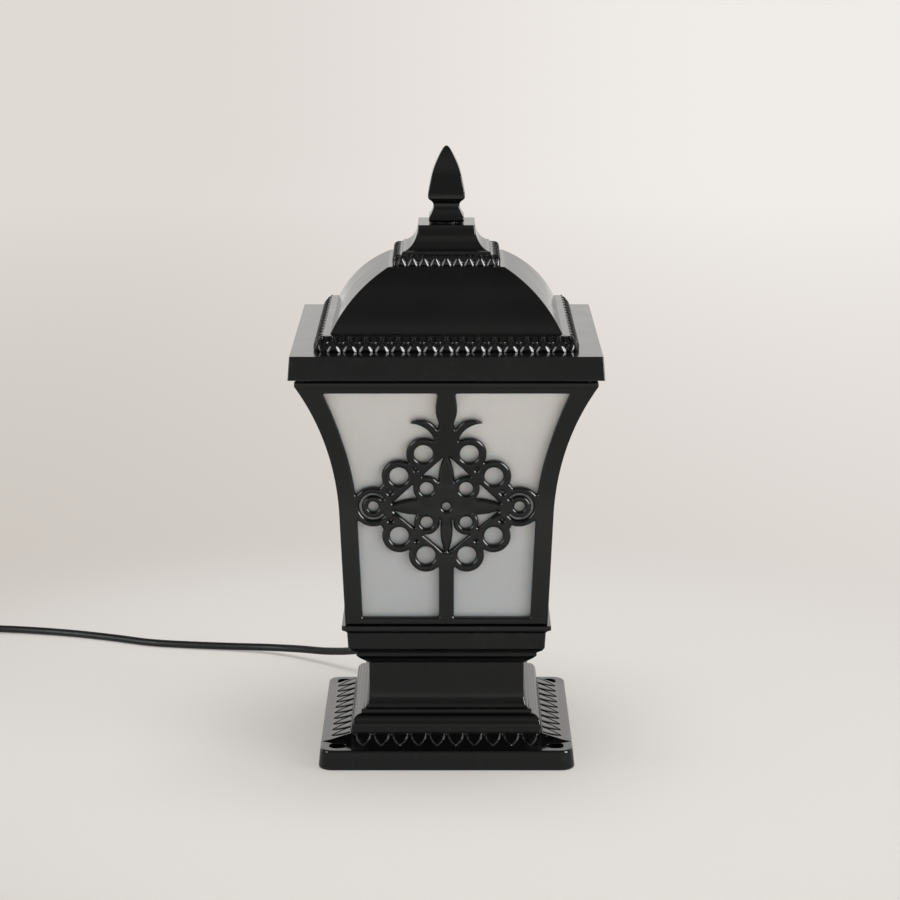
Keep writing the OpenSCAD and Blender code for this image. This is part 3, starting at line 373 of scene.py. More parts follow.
def feed(tree, target, **values):
    """Sets a node's inputs by name."""
    for name, value in values.items():
        connect(tree, target.inputs[name.replace("_", " ")], value)
    return target


def node(tree, kind, **values):
    return feed(tree, tree.nodes.new("ShaderNode" + kind), **values)


def noise(tree, grain, detail=3.0, stretch=(1, 1, 1), rough=0.5):
    """Noise with features of about grain millimetres, in the piece's own frame."""
    place = node(tree, "Mapping", Vector=node(tree, "TexCoord").outputs["Object"], Scale=stretch)
    return node(tree, "TexNoise", Vector=place.outputs["Vector"], Scale=1 / (grain * MM), Detail=detail,
                Roughness=rough).outputs["Fac"]


def axes(tree, output):
    """X, Y and Z of the texture coordinate of the given kind."""
    split = node(tree, "SeparateXYZ", Vector=node(tree, "TexCoord").outputs[output])
    return split.outputs["X"], split.outputs["Y"], split.outputs["Z"]


def between(tree, fac, low, high, start=0.3, end=0.7, curve="SMOOTHSTEP"):
    """Value from low to high as fac goes from start to end."""
    ramp = node(tree, "MapRange", Value=fac, From_Min=start, From_Max=end, To_Min=low, To_Max=high)
    ramp.interpolation_type = curve
    return ramp.outputs["Result"]


def blend(tree, fac, a, b, colours=True):
    """Mix of two colours, or of two numbers."""
    mix = node(tree, "Mix", Factor=fac)
    mix.data_type = "RGBA" if colours else "FLOAT"
    first, result = (6, 2) if colours else (2, 0)
    connect(tree, mix.inputs[first], a)
    connect(tree, mix.inputs[first + 1], b)
    return mix.outputs[result]


def reckon(tree, operation, a, b=0.0):
    step = tree.nodes.new("ShaderNodeMath")
    step.operation = operation
    connect(tree, step.inputs[0], a)
    connect(tree, step.inputs[1], b)
    return step.outputs[0]


def finish(name, dark, light, rough, grain=20, stretch=(1, 1, 1), bumps=(), worn=None, painted_top_light=None, **more):
    """Mottled colour and roughness, layers of bump (grain and height in mm), worn edges (colour and share),
    and painted light: a lighter colour towards the top."""
    mat = bpy.data.materials.new(name)
    mat.use_nodes = True
    tree = mat.node_tree
    colour = blend(tree, between(tree, noise(tree, grain, stretch=stretch), 0, 1), dark, light)
    # painted light: the colour turns lighter from 0.10 m to 0.24 m up
    if painted_top_light:
        height = axes(tree, "Object")[2]
        colour = blend(tree, between(tree, height, 0, 1, 0.10, 0.24), colour, painted_top_light)
    if worn:
        edge = node(tree, "Attribute")
        edge.attribute_name = "edge"
        patches = between(tree, noise(tree, 6, 5.0, rough=0.65), 0, worn[1], 0.52, 0.75)
        colour = blend(tree, reckon(tree, "MULTIPLY", edge.outputs["Fac"], patches), colour, worn[0])
    roughness = between(tree, noise(tree, grain * 0.37, 4.0, stretch), *rough)
    normal = {}
    for size, height in bumps:
        bump = node(tree, "Bump", Distance=height * MM, Height=noise(tree, size, 2.0, stretch), **normal)
        normal = {"Normal": bump.outputs["Normal"]}
    feed(tree, tree.nodes["Principled BSDF"], Base_Color=colour, Roughness=roughness, **normal, **more)
    return mat


black_paint = finish(
    "black_paint", (0.0026, 0.0027, 0.0029), (0.0042, 0.0042, 0.0042), (0.09, 0.15), 60,
    bumps=((38, 0.03), (2.6, 0.008)), worn=((0.02, 0.0195, 0.019), 0.5), IOR=1.41)
# Opal panes: lighter towards the top, painted light
opal_acrylic = finish(
    "opal_acrylic", (0.58, 0.60, 0.615), (0.61, 0.63, 0.645), (0.30, 0.42), 70, painted_top_light=(0.80, 0.775, 0.755),
    bumps=((30, 0.03),), IOR=1.49, Subsurface_Weight=0.25, Subsurface_Scale=0.004)
plated_steel = finish(
    "plated_steel", (0.46, 0.45, 0.42), (0.62, 0.61, 0.58), (0.28, 0.48), 9, (1, 1, 3),
    bumps=((0.8, 0.006),), worn=((0.72, 0.71, 0.69), 0.8), Metallic=1.0)
porcelain = finish(
    "porcelain", (0.72, 0.70, 0.65), (0.80, 0.79, 0.75), (0.08, 0.16), 16,
    bumps=((9, 0.05),), IOR=1.52, Coat_Weight=0.6, Coat_Roughness=0.05)
brass = finish(
    "brass", (0.62, 0.44, 0.20), (0.74, 0.56, 0.29), (0.22, 0.42), 7, bumps=((0.7, 0.005),), Metallic=1.0)
plated_brass = finish(
    "plated_brass", (0.58, 0.56, 0.52), (0.70, 0.68, 0.64), (0.18, 0.34), 8,
    bumps=((0.9, 0.005),), Metallic=1.0)
white_plastic = finish(
    "white_plastic", (0.66, 0.65, 0.60), (0.74, 0.73, 0.69), (0.34, 0.48), 12, bumps=((1.1, 0.01),), IOR=1.5)
opal_plastic = finish(
    "opal_plastic", (0.82, 0.82, 0.80), (0.88, 0.88, 0.86), (0.28, 0.38), 30,
    bumps=((5, 0.01),), IOR=1.49, Subsurface_Weight=0.4, Subsurface_Scale=0.004)
black_plastic = finish(
    "black_plastic", (0.012, 0.012, 0.012), (0.02, 0.02, 0.02), (0.35, 0.5), 8,
    bumps=((0.9, 0.012),), IOR=1.48)
black_rubber = finish(
    "black_rubber", (0.005, 0.005, 0.0052), (0.009, 0.009, 0.009), (0.36, 0.5), 11,
    bumps=((1.4, 0.02), (14, 0.08)), IOR=1.42)
sleeves = {
    colour: finish(colour + "_sleeve", dark, light, (0.32, 0.46), 9, bumps=((1.2, 0.012),), IOR=1.5)
    for colour, dark, light in (
        ("brown", (0.11, 0.045, 0.02), (0.16, 0.07, 0.03)),
        ("blue", (0.02, 0.07, 0.28), (0.035, 0.11, 0.38)),
        ("green", (0.16, 0.28, 0.03), (0.24, 0.38, 0.05)))}

# ---- Flex: from the grommet over the floor, then the rest of it in a tied coil

ROUTE = [(0, 68.8, 47.5), (0, 74, 47.5), (-1, 80, 46.5), (-6, 90, 43), (-18, 103, 35.5), (-37, 117, 25.5),
         (-60, 131, 15.5), (-82, 148, 9.5), (-104, 164, 6.4), (-128, 176, 4), (-155, 182, 3),
         (-185, 187, 2.7), (-212, 193, 2.6), (-240, 205, 2.6), (-270, 216, 2.6), (-300, 223, 2.8),
         (-326, 226, 3.2), (-352, 227, 3.8), (-362, 227, 3.8), (-372, 227, 3.8)]
LEAD = 5.2  # straight length before and after the coil
COIL_PITCH = 5.8
COIL_ACROSS = 57
COIL_TURNS = 3.5
LAYER_TURNS = 1.5
COIL_OUT_R = COIL_ACROSS / 2 + LAYER_TURNS * COIL_PITCH / 2
COIL_X, COIL_Y = ROUTE[-1][0] - LEAD, ROUTE[-1][1] - COIL_OUT_R
COIL_STEPS = 48
CORE_R, CRIMP_R, CORE_PITCH = 1.0, 0.72, 1.25
# side of the middle, colour, what it carries, height from the middle
CORES = ((-1, "brown", "live", -0.75), (0, "blue", "neutral", 1.35), (1, "green", "earth", -0.75))


def coil_point(t):
    """Middle of the coiled flex after t turns."""
    r = COIL_OUT_R - COIL_PITCH * min(t, COIL_TURNS - t)
    climb = 0.5 - 0.5 * math.cos(math.pi * min(max((t - LAYER_TURNS) / 0.5, 0), 1))
    a = 2 * math.pi * t
    return (COIL_X - r * math.sin(a), COIL_Y + r * math.cos(a), ROUTE[-1][2] + COIL_PITCH * climb)


coil = [coil_point(i / COIL_STEPS) for i in range(int(COIL_TURNS * COIL_STEPS) + 1)]
flex_end = (coil[-1][0] + LEAD, coil[-1][1], coil[-1][2])
flex_path = [tuple(p) for p in smooth_route(ROUTE)] + coil + [flex_end]
flex = piece("flex", tube(Shell(), flex_path, FLEX_R, 20), LANTERN, black_rubber, "supply_flex", "flex_coil",
             weighted=False)

# Tie of soft strap round the side of the coil
STRAP = ((-0.42, -1.4), (0.42, -1.4), (0.5, 0), (0.42, 1.4), (-0.42, 1.4), (-0.42, 0))
rings = []
for x, z, _ in square_ring(6.2, 0, 3.0, 2, 6):
    way = Vector((x, z)).normalized()
    rings.append([(COIL_X - COIL_ACROSS / 2 + x + way.x * a, COIL_Y + b, 6.7 + z + way.y * a)
                  for a, b in STRAP])
tie = piece("flex_tie_strap", Shell().rings(rings, loop=True), LANTERN, black_plastic, "flex_tie")

# Stripped cores with crimped ends
for k, colour, _, side in CORES:
    line = smooth_route([(flex_end[0] + dx, flex_end[1] + dy * k * CORE_PITCH, flex_end[2] + dz * side)
                         for dx, dy, dz in ((0.1, 1, 1), (3, 1, 1), (12, 2.6, 0.8), (24, 4.4, 0.5))], 8)
    crimp = int(0.72 * len(line))
    shell = tube(Shell(), line[:crimp + 1], CORE_R, 12)
    tube(shell, line[crimp:], CRIMP_R, 12, slot=1)
    piece("flex_tail_" + colour, shell, LANTERN, [sleeves[colour], plated_brass], "flex_tails")

# Grommet with a ribbed sleeve that tapers along the flex, and the flex and cores inside
sleeve = []
for k in range(6):
    r, y = 6.9 - 0.52 * k, 3.1 * k
    sleeve += [(r, 5.0 + y, 0.5), (r - 0.25, 7.0 + y, 0.5), (r - 0.95, 7.3 + y, 0.3), (r - 1.0, 7.8 + y, 0.3)]
grommet = [(5.45, -0.2, 0.1), (7.0, 0, 0.3), (7.0, -1.5, 0.4), (2.66, -1.5, 0.3), (2.66, 23.9, 0.3),
           (3.6, 23.9, 0.5)] + sleeve[::-1] + [(7.0, 4.4, 0.3), (5.45, 4.3, 0.1)]
piece("grommet", lathe(Shell(), soften(grommet, loop=True), (0, 44.5, FLEX_Z), (0, 1, 0), 40, loop=True),
      LANTERN, black_rubber, "flex_grommet")
bend = [(0, 32 - 12 * math.sin(a), 59.5 - 12 * math.cos(a)) for a in np.linspace(0, math.pi / 2, 14)]
inner = [(0, 68.4, FLEX_Z), (0, 42, FLEX_Z), (0, 36, FLEX_Z), *bend, (0, 20, 64), (0, 20, 67)]
piece("inner_sheath", tube(Shell(), inner, FLEX_R), LANTERN, black_rubber, "inner_flex")


def wire(name, colour, line):
    """Core or lead that stands for the solid of that name."""
    piece(name + "_wire", tube(Shell(), smooth_route(line), CORE_R, 12), LANTERN, sleeves[colour], name)


WIRE_Z = Z_FLOOR + 4.5
LOOP_Z = Z_FLOOR + 19
TAG_Z = Z_FLOOR + 1.2
for k, colour, role, side in CORES:
    x, y, up = k * CORE_PITCH, 20 + side, 0 if k else 1.6
    wire(role + "_core", colour, [
        (x, y, 67.4), (x, y, 68.4), (2 * x, y - 0.8, 69.8 + up), (3 * x, 14.5, WIRE_Z + up / 2),
        (k * 8, 0, WIRE_Z), (k * 10, -11.5, WIRE_Z), (k * 10, -21.5, WIRE_Z), (k * 10, -28.5, WIRE_Z)])
for k, colour, role, _ in CORES[:2]:
    wire(role + "_lead", colour, [
        (k * 10, -39.5, WIRE_Z), (k * 10, -43.5, WIRE_Z), (k * 10, -46.5, WIRE_Z + 4),
        (k * 9, -45.5, LOOP_Z - 3), (k * 7, -38.5, LOOP_Z + 1), (k * 5, -25.5, LOOP_Z + 1),
        (k * 4 + 2, -23, LOOP_Z - 1), (k * 4 + 2, -19.8, LOOP_Z - 1)])
wire("earth_lead", "green", [
    (10, -39.5, WIRE_Z), (10, -43.5, WIRE_Z), (13, -46.1, WIRE_Z), (20, -46.1, WIRE_Z - 1),
    (28, -38.5, WIRE_Z - 2), (32, -31, TAG_Z), (32, -27, TAG_Z), (32, -23.1, TAG_Z)])

# ---- Base: plate, leaf border, pedestal and neck

PLATE_W, PLATE_TOP, PLATE_UNDER = 80, 12.6, 8.6
HOLES = [(x, y) for x in (-68, 68) for y in (-68, 68)]


def plate_corner(w, z):
    """Corner radius of the plate at half width w."""
    return 9 - (PLATE_W - w)


def plate_face(z, squares, radii, least_w, least_r):
    """Level face of the plate round the pedestal and the fixing holes, between squares and circles."""
    def inside(x, y):
        keep = np.maximum(np.abs(x), np.abs(y)) > least_w
        for a, b in HOLES:
            keep &= np.hypot(x - a, y - b) > least_r
        return keep

    turns = [2 * math.pi * k / 40 for k in range(40)]
    circles = [[(x + r * math.cos(t), y + r * math.sin(t)) for t in turns] for x, y in HOLES for r in radii]
    squares = [square_ring(w, 0, corner, per_corner=n) for w, corner, n in squares]
    co, faces = triangles(squares + circles, inside)
    base.add(np.insert(co, 2, z, 1), faces)


base = Shell()
rim = soften([(76, PLATE_UNDER, 0), (76, 0, 0.7), (PLATE_W, 0, 2.0), (78.7, PLATE_TOP, 1.5),
              (75, PLATE_TOP, 0)], steps=4)
edge_w = rim[-2][0]
square_loft(base, rim[:-2] + [(edge_w, rim[-2][1], 0.0)], plate_corner, per_corner=8)
plate_face(PLATE_TOP, [(edge_w, plate_corner(edge_w, 0), 8), (76.6, 5.6, 8), (59, 0.5, 4)], (5.35, 5.8),
           59, 5.3)
plate_face(PLATE_UNDER, [(76, 5, 8), (59.6, 1.1, 4)], (10,), 59.6, 9.95)
for x, y in HOLES:
    lathe(base, [(5.35, PLATE_TOP, 1), (5.0, 12.25, 1), (5.0, 0.5), (5.4, 0.0), (9.6, 0.0), (10, 0.4),
                 (10, PLATE_UNDER)], (x, y, 0), sides=40)
OVOLO = [(59.3 - 5.0 * (1 - math.cos(a)), 22.2 + 7.1 * math.sin(a), 0) for a in np.linspace(0.12, 1.5, 7)]
COVE = [(48.5 + 3.4 * (1 - math.sin(a)), 45 - 13.3 * math.cos(a), 0) for a in np.linspace(0.1, 1.5, 9)]
pedestal = [(55.3, 8.6), (59.6, 8.6), (59.6, 17.6, 0.3), (59.3, 18.0, 0.3), (59.3, 22.2, 0.2), *OVOLO,
            (54.1, 29.3, 0.4), (53.5, 29.5, 0.2), (53.5, 31.7, 0.4), (52.1, 31.8, 0.2), *COVE,
            (48.5, 46.5, 0), (48.6, 61.0, 0.6), (28, 61.0, 0.5), (28, 57.0, 0.5), (44.5, 57.0, 1.0),
            (44.5, 39, 2), (50.4, 27.8, 2), (55.3, 20.2, 2)]
square_loft(base, soften(pedestal, loop=True), 1.1, loop=True)

# Margin and leaf border: pointed leaves on a slope, with their tips outwards
LEAF_PITCH = 11.6
HALF_RUN, LEAF_RUN = 59.3, 58.0
GROOVE_W, GROOVE_DEPTH, LEAF_RISE = 0.8, 0.9, 0.25
up_slope = np.linspace(0, 1, 41)
along = np.linspace(-HALF_RUN, HALF_RUN, 393)
margin = [(78.2, 12.5), (77.4, 12.85), (75.0, 13.3), (72.95, 13.75)]
slope = [(72.6 - 12.6 * t, 13.85 + 4.15 * t) for t in up_slope]
section_w, section_z = np.array(margin + slope).T[:, :, None]
steps = np.concatenate([np.zeros(len(margin)), up_slope])[:, None]
across = np.abs((along / LEAF_PITCH) % 1.0 - 0.5)
leaf = 0.44 * np.sin(0.5 * math.pi * unit((steps - 0.04) / 0.90)) ** 0.8
groove = np.abs(leaf - across) * LEAF_PITCH / math.hypot(1, 0.9)
leafy = (np.abs(along) < LEAF_RUN) & (steps > 0.03) & (steps < 0.97)
rise = leafy * (LEAF_RISE * unit((leaf - across) / 0.2) - GROOVE_DEPTH * unit(1 - groove / GROOVE_W) ** 0.8)
out_w, out_z = np.array((4.5, 12.6)) / math.hypot(4.5, 12.6)
runs = np.broadcast_to(along, rise.shape)
sheet = np.stack([runs, -(section_w + out_w * rise), section_z + out_z * rise], 2)
border = Shell().rings(sheet, wrap=False)
for end in (0, -1):
    wall = [*sheet[:, end], (along[end], -59.4, 18.0), (along[end], -59.4, 12.4)]
    border.add(wall, [tuple(range(len(wall)))])
for q in range(4):
    base.add(np.concatenate(border.turned(q).co), border.faces)
piece("base", base, LANTERN, black_paint, "base_casting", angle=32)

# ---- Tray

tray = soften([(49.1, 61.0, 0.3), (54.2, 65.1, 0.8), (56.3, 67.3, 0.5), (56.4, 69.4, 0.4), (60.1, 71.8, 0.9),
               (61.2, 73.7, 0.8), (61.8, 83.6, 0.5), (63.0, 85.0, 0.4), (65.0, 86.2, 0.5), (65.0, 89.1, 0.6),
               (49.0, 89.1, 0.5), (49.0, 85.1, 0.5), (57.2, 85.1, 1.0), (57.2, 74, 2.0), (52.5, 70, 1.0),
               (50.1, 65.0, 0.8), (4, 65.0, 0)])
tray_shell = square_loft(Shell(), [(4, 61.0, 0)] + tray, lambda w, z: 1.6 if w > 58 else 1.1,
                         caps=(True, True))
piece("tray", tray_shell, LANTERN, black_paint, "tray_casting")

# ---- Fretwork of a side, drawn as a field that is positive in the metal

DIAMOND_X, DIAMOND_UP, DIAMOND_DOWN, BAND = 35.5, 34.0, 30.0, 5.0
BAND_X = BAND * math.hypot(1, DIAMOND_X / DIAMOND_UP)
BAND_Z = BAND * math.hypot(1, DIAMOND_UP / DIAMOND_X)
EYE = (44.9, 0.0)
RINGS = ((14.0, 34.5), (29.1, 19.7), (29.0, -18.8), (12.6, -31.3))
WEBS = ((37.6, 12.0), (37.0, -11.8))
PETAL_R, PETAL_FOOT = 34.0, 9.5


def disc(x, z, cx, cz, r):
    return r - np.hypot(x - cx, z - cz)


def inside_polygon(x, z, pts):
    """Distance to a polygon's outline, positive inside."""
    best = np.full(x.shape, 1e9)
    inside = np.zeros(x.shape, bool)
    for (x0, z0), (x1, z1) in zip(pts, pts[1:] + pts[:1]):
        ex, ez = x1 - x0, z1 - z0
        t = unit(((x - x0) * ex + (z - z0) * ez) / (ex * ex + ez * ez))
        best = np.minimum(best, np.hypot(x - x0 - t * ex, z - z0 - t * ez))
        if ez:
            inside ^= ((z0 > z) != (z1 > z)) & (x < ex * (z - z0) / ez + x0)
    return np.where(inside, best, -best)


def melt(a, b, k=0.9):
    """Union with a fillet of about k."""
    h = unit(0.5 + 0.5 * (a - b) / k)
    return b + (a - b) * h + k * h * (1 - h)


def carve(a, b, k=0.3):
    """What is left of a without b."""
    return -melt(-a, b, k)


def window_field(x, z):
    """Positive in the window that the fretwork fills."""
    wide = face_w(z) - 11 - 3 * (np.clip(z - Z_FRET - 35, 0, None) / 40) ** 2
    return -melt(np.abs(x) - wide, -np.minimum(z - Z_WINDOW, Z_WINDOW_TOP - z), 1.0)


def diamond(x, z, wider=0.0, taller=0.0):
    return inside_polygon(x, z, [(DIAMOND_X + wider, 0), (0, DIAMOND_UP + taller), (-5, 0),
                                 (0, -DIAMOND_DOWN - taller)])


def stem_outline():
    """Half of the stem and bud, from the diamond up."""
    half, top, bulge, quarter = 6.55, Z_WINDOW_TOP - Z_FRET + 3, 63.5, 1.5708
    pts = [(9, 24), (8.2, 35), (6.6, 41), (5.2, 50)]
    pts += [(4.52 + (half - 4.52) * math.cos(a), bulge - 8.5 * a / quarter)
            for a in np.linspace(quarter, 0, 8)]
    pts += [(4.9 + (half - 4.9) * math.cos(a), bulge + (top - bulge) * a / quarter)
            for a in np.linspace(0.2, quarter, 7)]
    return pts + [(-1, top), (-1, 24)]


def rosette_field(x, z):
    """Four petals and four rings in the diamond."""
    ax = np.abs(x)
    out = np.full(x.shape, -1e9)
    for reach, a, b in ((DIAMOND_X + 1, ax, z), (DIAMOND_UP + 1, z, x), (DIAMOND_DOWN + 1, -z, x)):
        side = math.sqrt(PETAL_R ** 2 - (reach / 2) ** 2)
        petal = np.minimum(*(disc(a, b, reach / 2, s, PETAL_R) for s in (side, -side)))
        out = np.maximum(out, petal)
    out = melt(out, disc(ax, z, 0, 0, 9.0), 0.8)
    rings = ((DIAMOND_UP, 8.4, 4.2), (-DIAMOND_DOWN, 7.8, 3.8))
    for s, r, _ in rings:
        out = melt(out, disc(ax, z, 0.34 * DIAMOND_X, 0.34 * s, r), 0.8)
    for s, _, hole in rings:
        out = carve(out, disc(ax, z, 0.34 * DIAMOND_X, 0.34 * s, hole))
    return carve(out, disc(ax, z, 0, 0, 2.6))


def metal_field(x, z):
    """Positive in the metal of a side's outer face; x across, z from the floor."""
    ax, h = np.abs(x), z - Z_FRET
    body = diamond(ax, h, BAND_X, BAND_Z)
    for places, r in (((EYE,), 12.8), (RINGS, 10.6), (WEBS, 3.0)):
        for p in places:
            body = melt(body, disc(ax, h, *p, r))
    body = melt(body, inside_polygon(ax, h, stem_outline()), 1.4)
    body = melt(body, np.minimum(4.65 - ax, -DIAMOND_DOWN - h), 1.2)
    body = carve(body, diamond(ax, h), 0.5)
    for places, r in ((RINGS, 5.7), ((EYE,), 3.2)):
        for p in places:
            body = carve(body, disc(ax, h, *p, r))
    ring = 0.75 - np.abs(np.hypot(ax - EYE[0], h) - 7.85)
    web = (EYE[0] - ax) * math.sin(math.radians(38)) - np.abs(h) * math.cos(math.radians(38))
    body = carve(body, -melt(-ring, web, 0.3), 0.2)
    body = melt(body, rosette_field(x, h), 0.7)
    leaf = carve(disc(ax, h, 15.5, 46.7, 10.6), disc(ax, h, 22.9, 38.2, 16.6), 0.6)
    metal = melt(melt(body, leaf, 1.3), -window_field(x, z), 1.4)
    rim = np.minimum(face_w(z) - 0.04 - ax, np.minimum(z - Z_TRAY - 0.05, Z_SIDE - 0.05 - z))
    return np.minimum(metal, rim)


STEP = 0.5
grid_xs = np.arange(-97, 97 + STEP, STEP)
grid_zs = np.arange(Z_TRAY - 2, Z_SIDE + 2, STEP)


def contours(values, level):
    """Closed loops where a gridded field crosses a level, with what is above it on their left."""
    f = values - level
    f[f == 0] = 1e-9
    sign = f > 0
    here = sign[:-1, :-1]
    starts = {}

    def crossing(a, b):
        t = f[a] / (f[a] - f[b])
        return [grid[i] + (grid[j] - grid[i]) * t
                for grid, i, j in ((grid_xs, a[1], b[1]), (grid_zs, a[0], b[0]))]

    mixed = (here != sign[:-1, 1:]) | (here != sign[1:, :-1]) | (here != sign[1:, 1:])
    for i, j in zip(*np.nonzero(mixed)):
        corners = ((i, j), (i, j + 1), (i + 1, j + 1), (i + 1, j))
        outs, ins = [], []
        for a, b in zip(corners, corners[1:] + corners[:1]):
            if sign[a] != sign[b]:
                (outs if sign[a] else ins).append((min(a, b), max(a, b)))
        if len(outs) == 2 and f[i:i + 2, j:j + 2].sum() > 0:
            ins = ins[::-1]
        starts.update(zip(outs, ins))
    loops = []
    while starts:
        first, here = next(iter(starts.items()))
        del starts[first]
        keys = [first]
        while here != first and here in starts:
            keys.append(here)
            here = starts.pop(here)
        loops.append(np.array([crossing(a, b) for a, b in keys]))
    return [l for l in loops if len(l) > 6]


def thin(loop, tolerance=0.012, longest=3.0):
    """Fewer points on straight stretches of a loop, with none further apart than longest."""
    n = len(loop)
    keep = {0, n // 2}
    stack = [(0, n // 2), (n // 2, n)]
    while stack:
        a, b = stack.pop()
        if b - a < 2:
            continue
        p, q = loop[a], loop[b % n]
        d = q - p
        mid = loop[a + 1:b] - p
        off = np.abs(mid[:, 0] * d[1] - mid[:, 1] * d[0]) / max(np.hypot(*d), 1e-9)
        k = int(off.argmax())
        if off[k] > tolerance:
            keep.add(a + 1 + k)
            stack += [(a, a + 1 + k), (a + 1 + k, b)]
    pts = loop[sorted(keep)]
    out = []
    for p, q in zip(pts, np.roll(pts, -1, 0)):
        parts = max(1, int(math.ceil(np.hypot(*(q - p)) / longest)))
        out += [p + (q - p) * i / parts for i in range(parts)]
    return np.array(out)


class Outline:
    """Closed loops from which distances are measured."""

    def __init__(self, loops):
        self.points = np.concatenate(loops)
        self.beside = [np.concatenate([np.roll(l, way, 0) for l in loops]) for way in (-1, 1)]
        self.tree = kdtree.KDTree(len(self.points))
        for i, p in enumerate(self.points):
            self.tree.insert((*p, 0), i)
        self.tree.balance()

    def distance(self, x, z):
        near = np.array([self.tree.find((a, b, 0))[1] for a, b in zip(x, z)])
        p = self.points[near]
        dx, dz = x - p[:, 0], z - p[:, 1]
        best = np.full(len(x), 1e9)
        for beside in self.beside:
            ex, ez = (beside[near] - p).T
            t = unit((dx * ex + dz * ez) / np.maximum(ex * ex + ez * ez, 1e-12))
            best = np.minimum(best, np.hypot(dx - t * ex, dz - t * ez))
        return best


ROUND_FRET, ROUND_FRAME, ROUND_MITRE = 1.9, 0.8, 0.3


def edge_radius(x, z):
    """Rounding of the casting's front edges: full on the fretwork, small along the mitres."""
    fretted = unit(0.5 + (window_field(x, z) + 0.5) / 2.0)
    inward = unit((face_w(z) - np.abs(x) - 1.5) / 2.5)
    radius = ROUND_FRAME + (ROUND_FRET - ROUND_FRAME) * fretted
    return ROUND_MITRE + (radius - ROUND_MITRE) * inward


grid_x, grid_z = np.meshgrid(grid_xs, grid_zs)
field_grid = metal_field(grid_x, grid_z)
rim_loops = contours(field_grid, 0.0)
outline = Outline(rim_loops)
near_rim = np.abs(field_grid) < 3.2
side_of_rim = np.where(field_grid > 0, 1, -1)
signed = 9.0 * side_of_rim
signed[near_rim] = outline.distance(grid_x[near_rim], grid_z[near_rim]) * side_of_rim[near_rim]
rim_loops = [thin(l) for l in rim_loops]
level_loops = rim_loops + [thin(l, 0.02) for level in (0.22, 0.62, 1.2, 1.9) for l in contours(signed, level)]
fill_x, fill_z = np.meshgrid(np.arange(-93, 94, 3.0), np.arange(Z_TRAY + 2.5, Z_SIDE - 2, 3.0))
deep = metal_field(fill_x, fill_z) > 2.6
fill_points = np.stack([fill_x[deep], fill_z[deep]], 1)
front_co, front_faces = triangles(level_loops, lambda x, z: metal_field(x, z) > 0.03, fill_points)
back_co, back_faces = triangles(rim_loops, lambda x, z: metal_field(x, z) > 0, fill_points)


def casting_side():
    """One side casting in the front position."""
    x, z = front_co.T
    ax, h = np.abs(x), z - Z_FRET
    depth = outline.distance(x, z)
    radius = edge_radius(x, z)
    drop = radius - np.sqrt(np.clip(radius ** 2 - (radius - np.clip(depth, 0, radius)) ** 2, 0, None))
    # the petals of the rosette rise to a ridge along their middles
    for reach, a, b in ((DIAMOND_X, ax, h), (DIAMOND_UP, h, x), (DIAMOND_DOWN, -h, x)):
        vein = unit(1 - np.abs(b) / 2.4) * unit((a - PETAL_FOOT) / 3) * unit((reach - a) / 4)
        on_petal = (np.abs(b) < 5) * unit((a - PETAL_FOOT) / 2) * unit((reach - a) / 3)
        drop = drop + 0.55 * (1 - vein) * on_petal
    y = -(face_w(z) - drop / np.cos(face_lean(z)))
    shell = Shell().add(np.stack([x, y, z], 1), front_faces, unit(1 - depth / radius))

    def back(px, pz):
        inner = face_w(pz, SIDE_T)
        on_mitre = np.abs(px) > face_w(pz) - 0.3
        return np.stack([np.where(on_mitre, np.sign(px) * inner, np.clip(px, -inner, inner)), -inner, pz], -1)

    shell.add(back(*back_co.T), back_faces[:, ::-1])
    for l in rim_loops:
        lx, lz = l.T
        front = np.stack([lx, -(face_w(lz) - edge_radius(lx, lz) / np.cos(face_lean(lz))), lz], 1)
        shell.rings(np.stack([front, back(lx, lz)]), edge=[0.6, 0])
    # foot in the tray lip, ledge of the pane, flange at the top: half widths outside and inside, heights
    for w_out, w_in, z0, z1 in ((60.7, 49.0, Z_TRAY, 92.1), (55.7, 53.9, 91.9, 96.1),
                                (89.0, TOP_W - 20.4, Z_FLANGE, Z_SIDE)):
        level = ((-1, w_out), (1, w_out), (1, w_in), (-1, w_in))
        box = [(s * w, -w, height) for height in (z0, z1) for s, w in level]
        shell.add(box, [(0, 1, 2, 3), (7, 6, 5, 4), (0, 4, 5, 1), (1, 5, 6, 2), (2, 6, 7, 3), (3, 7, 4, 0)])
    return shell


def pane():
    """Curved opal sheet behind the front casting, with rounded edges."""
    foot, top = 92.1, 243.4
    across = np.linspace(-1, 1, 13)
    rings = []
    for z in (foot, 92.25, 92.6, *np.linspace(94, 242, 60), 242.9, 243.25, top):
        pinch = 0.35 * max(0.0, 1 - min(z - foot, top - z) / 0.5)
        out, back = float(face_w(z, PANE_FRONT + pinch)), float(face_w(z, PANE_BACK - pinch))
        rings.append([(x * (out - 0.5), -out, z) for x in across] +
                     [(x * (back - 0.3), -back, z) for x in across[::-1]])
    return Shell().rings(rings, caps=(True, True))


side, sheet_of_pane = casting_side(), pane()
for q, place in enumerate(("front", "right", "back", "left")):
    piece("fretwork_" + place, side.turned(q), LANTERN, black_paint, "frame_" + place, angle=38)
    piece("opal_pane_" + place, sheet_of_pane.turned(q), LANTERN, opal_acrylic, "pane_" + place)

# ---- Roof

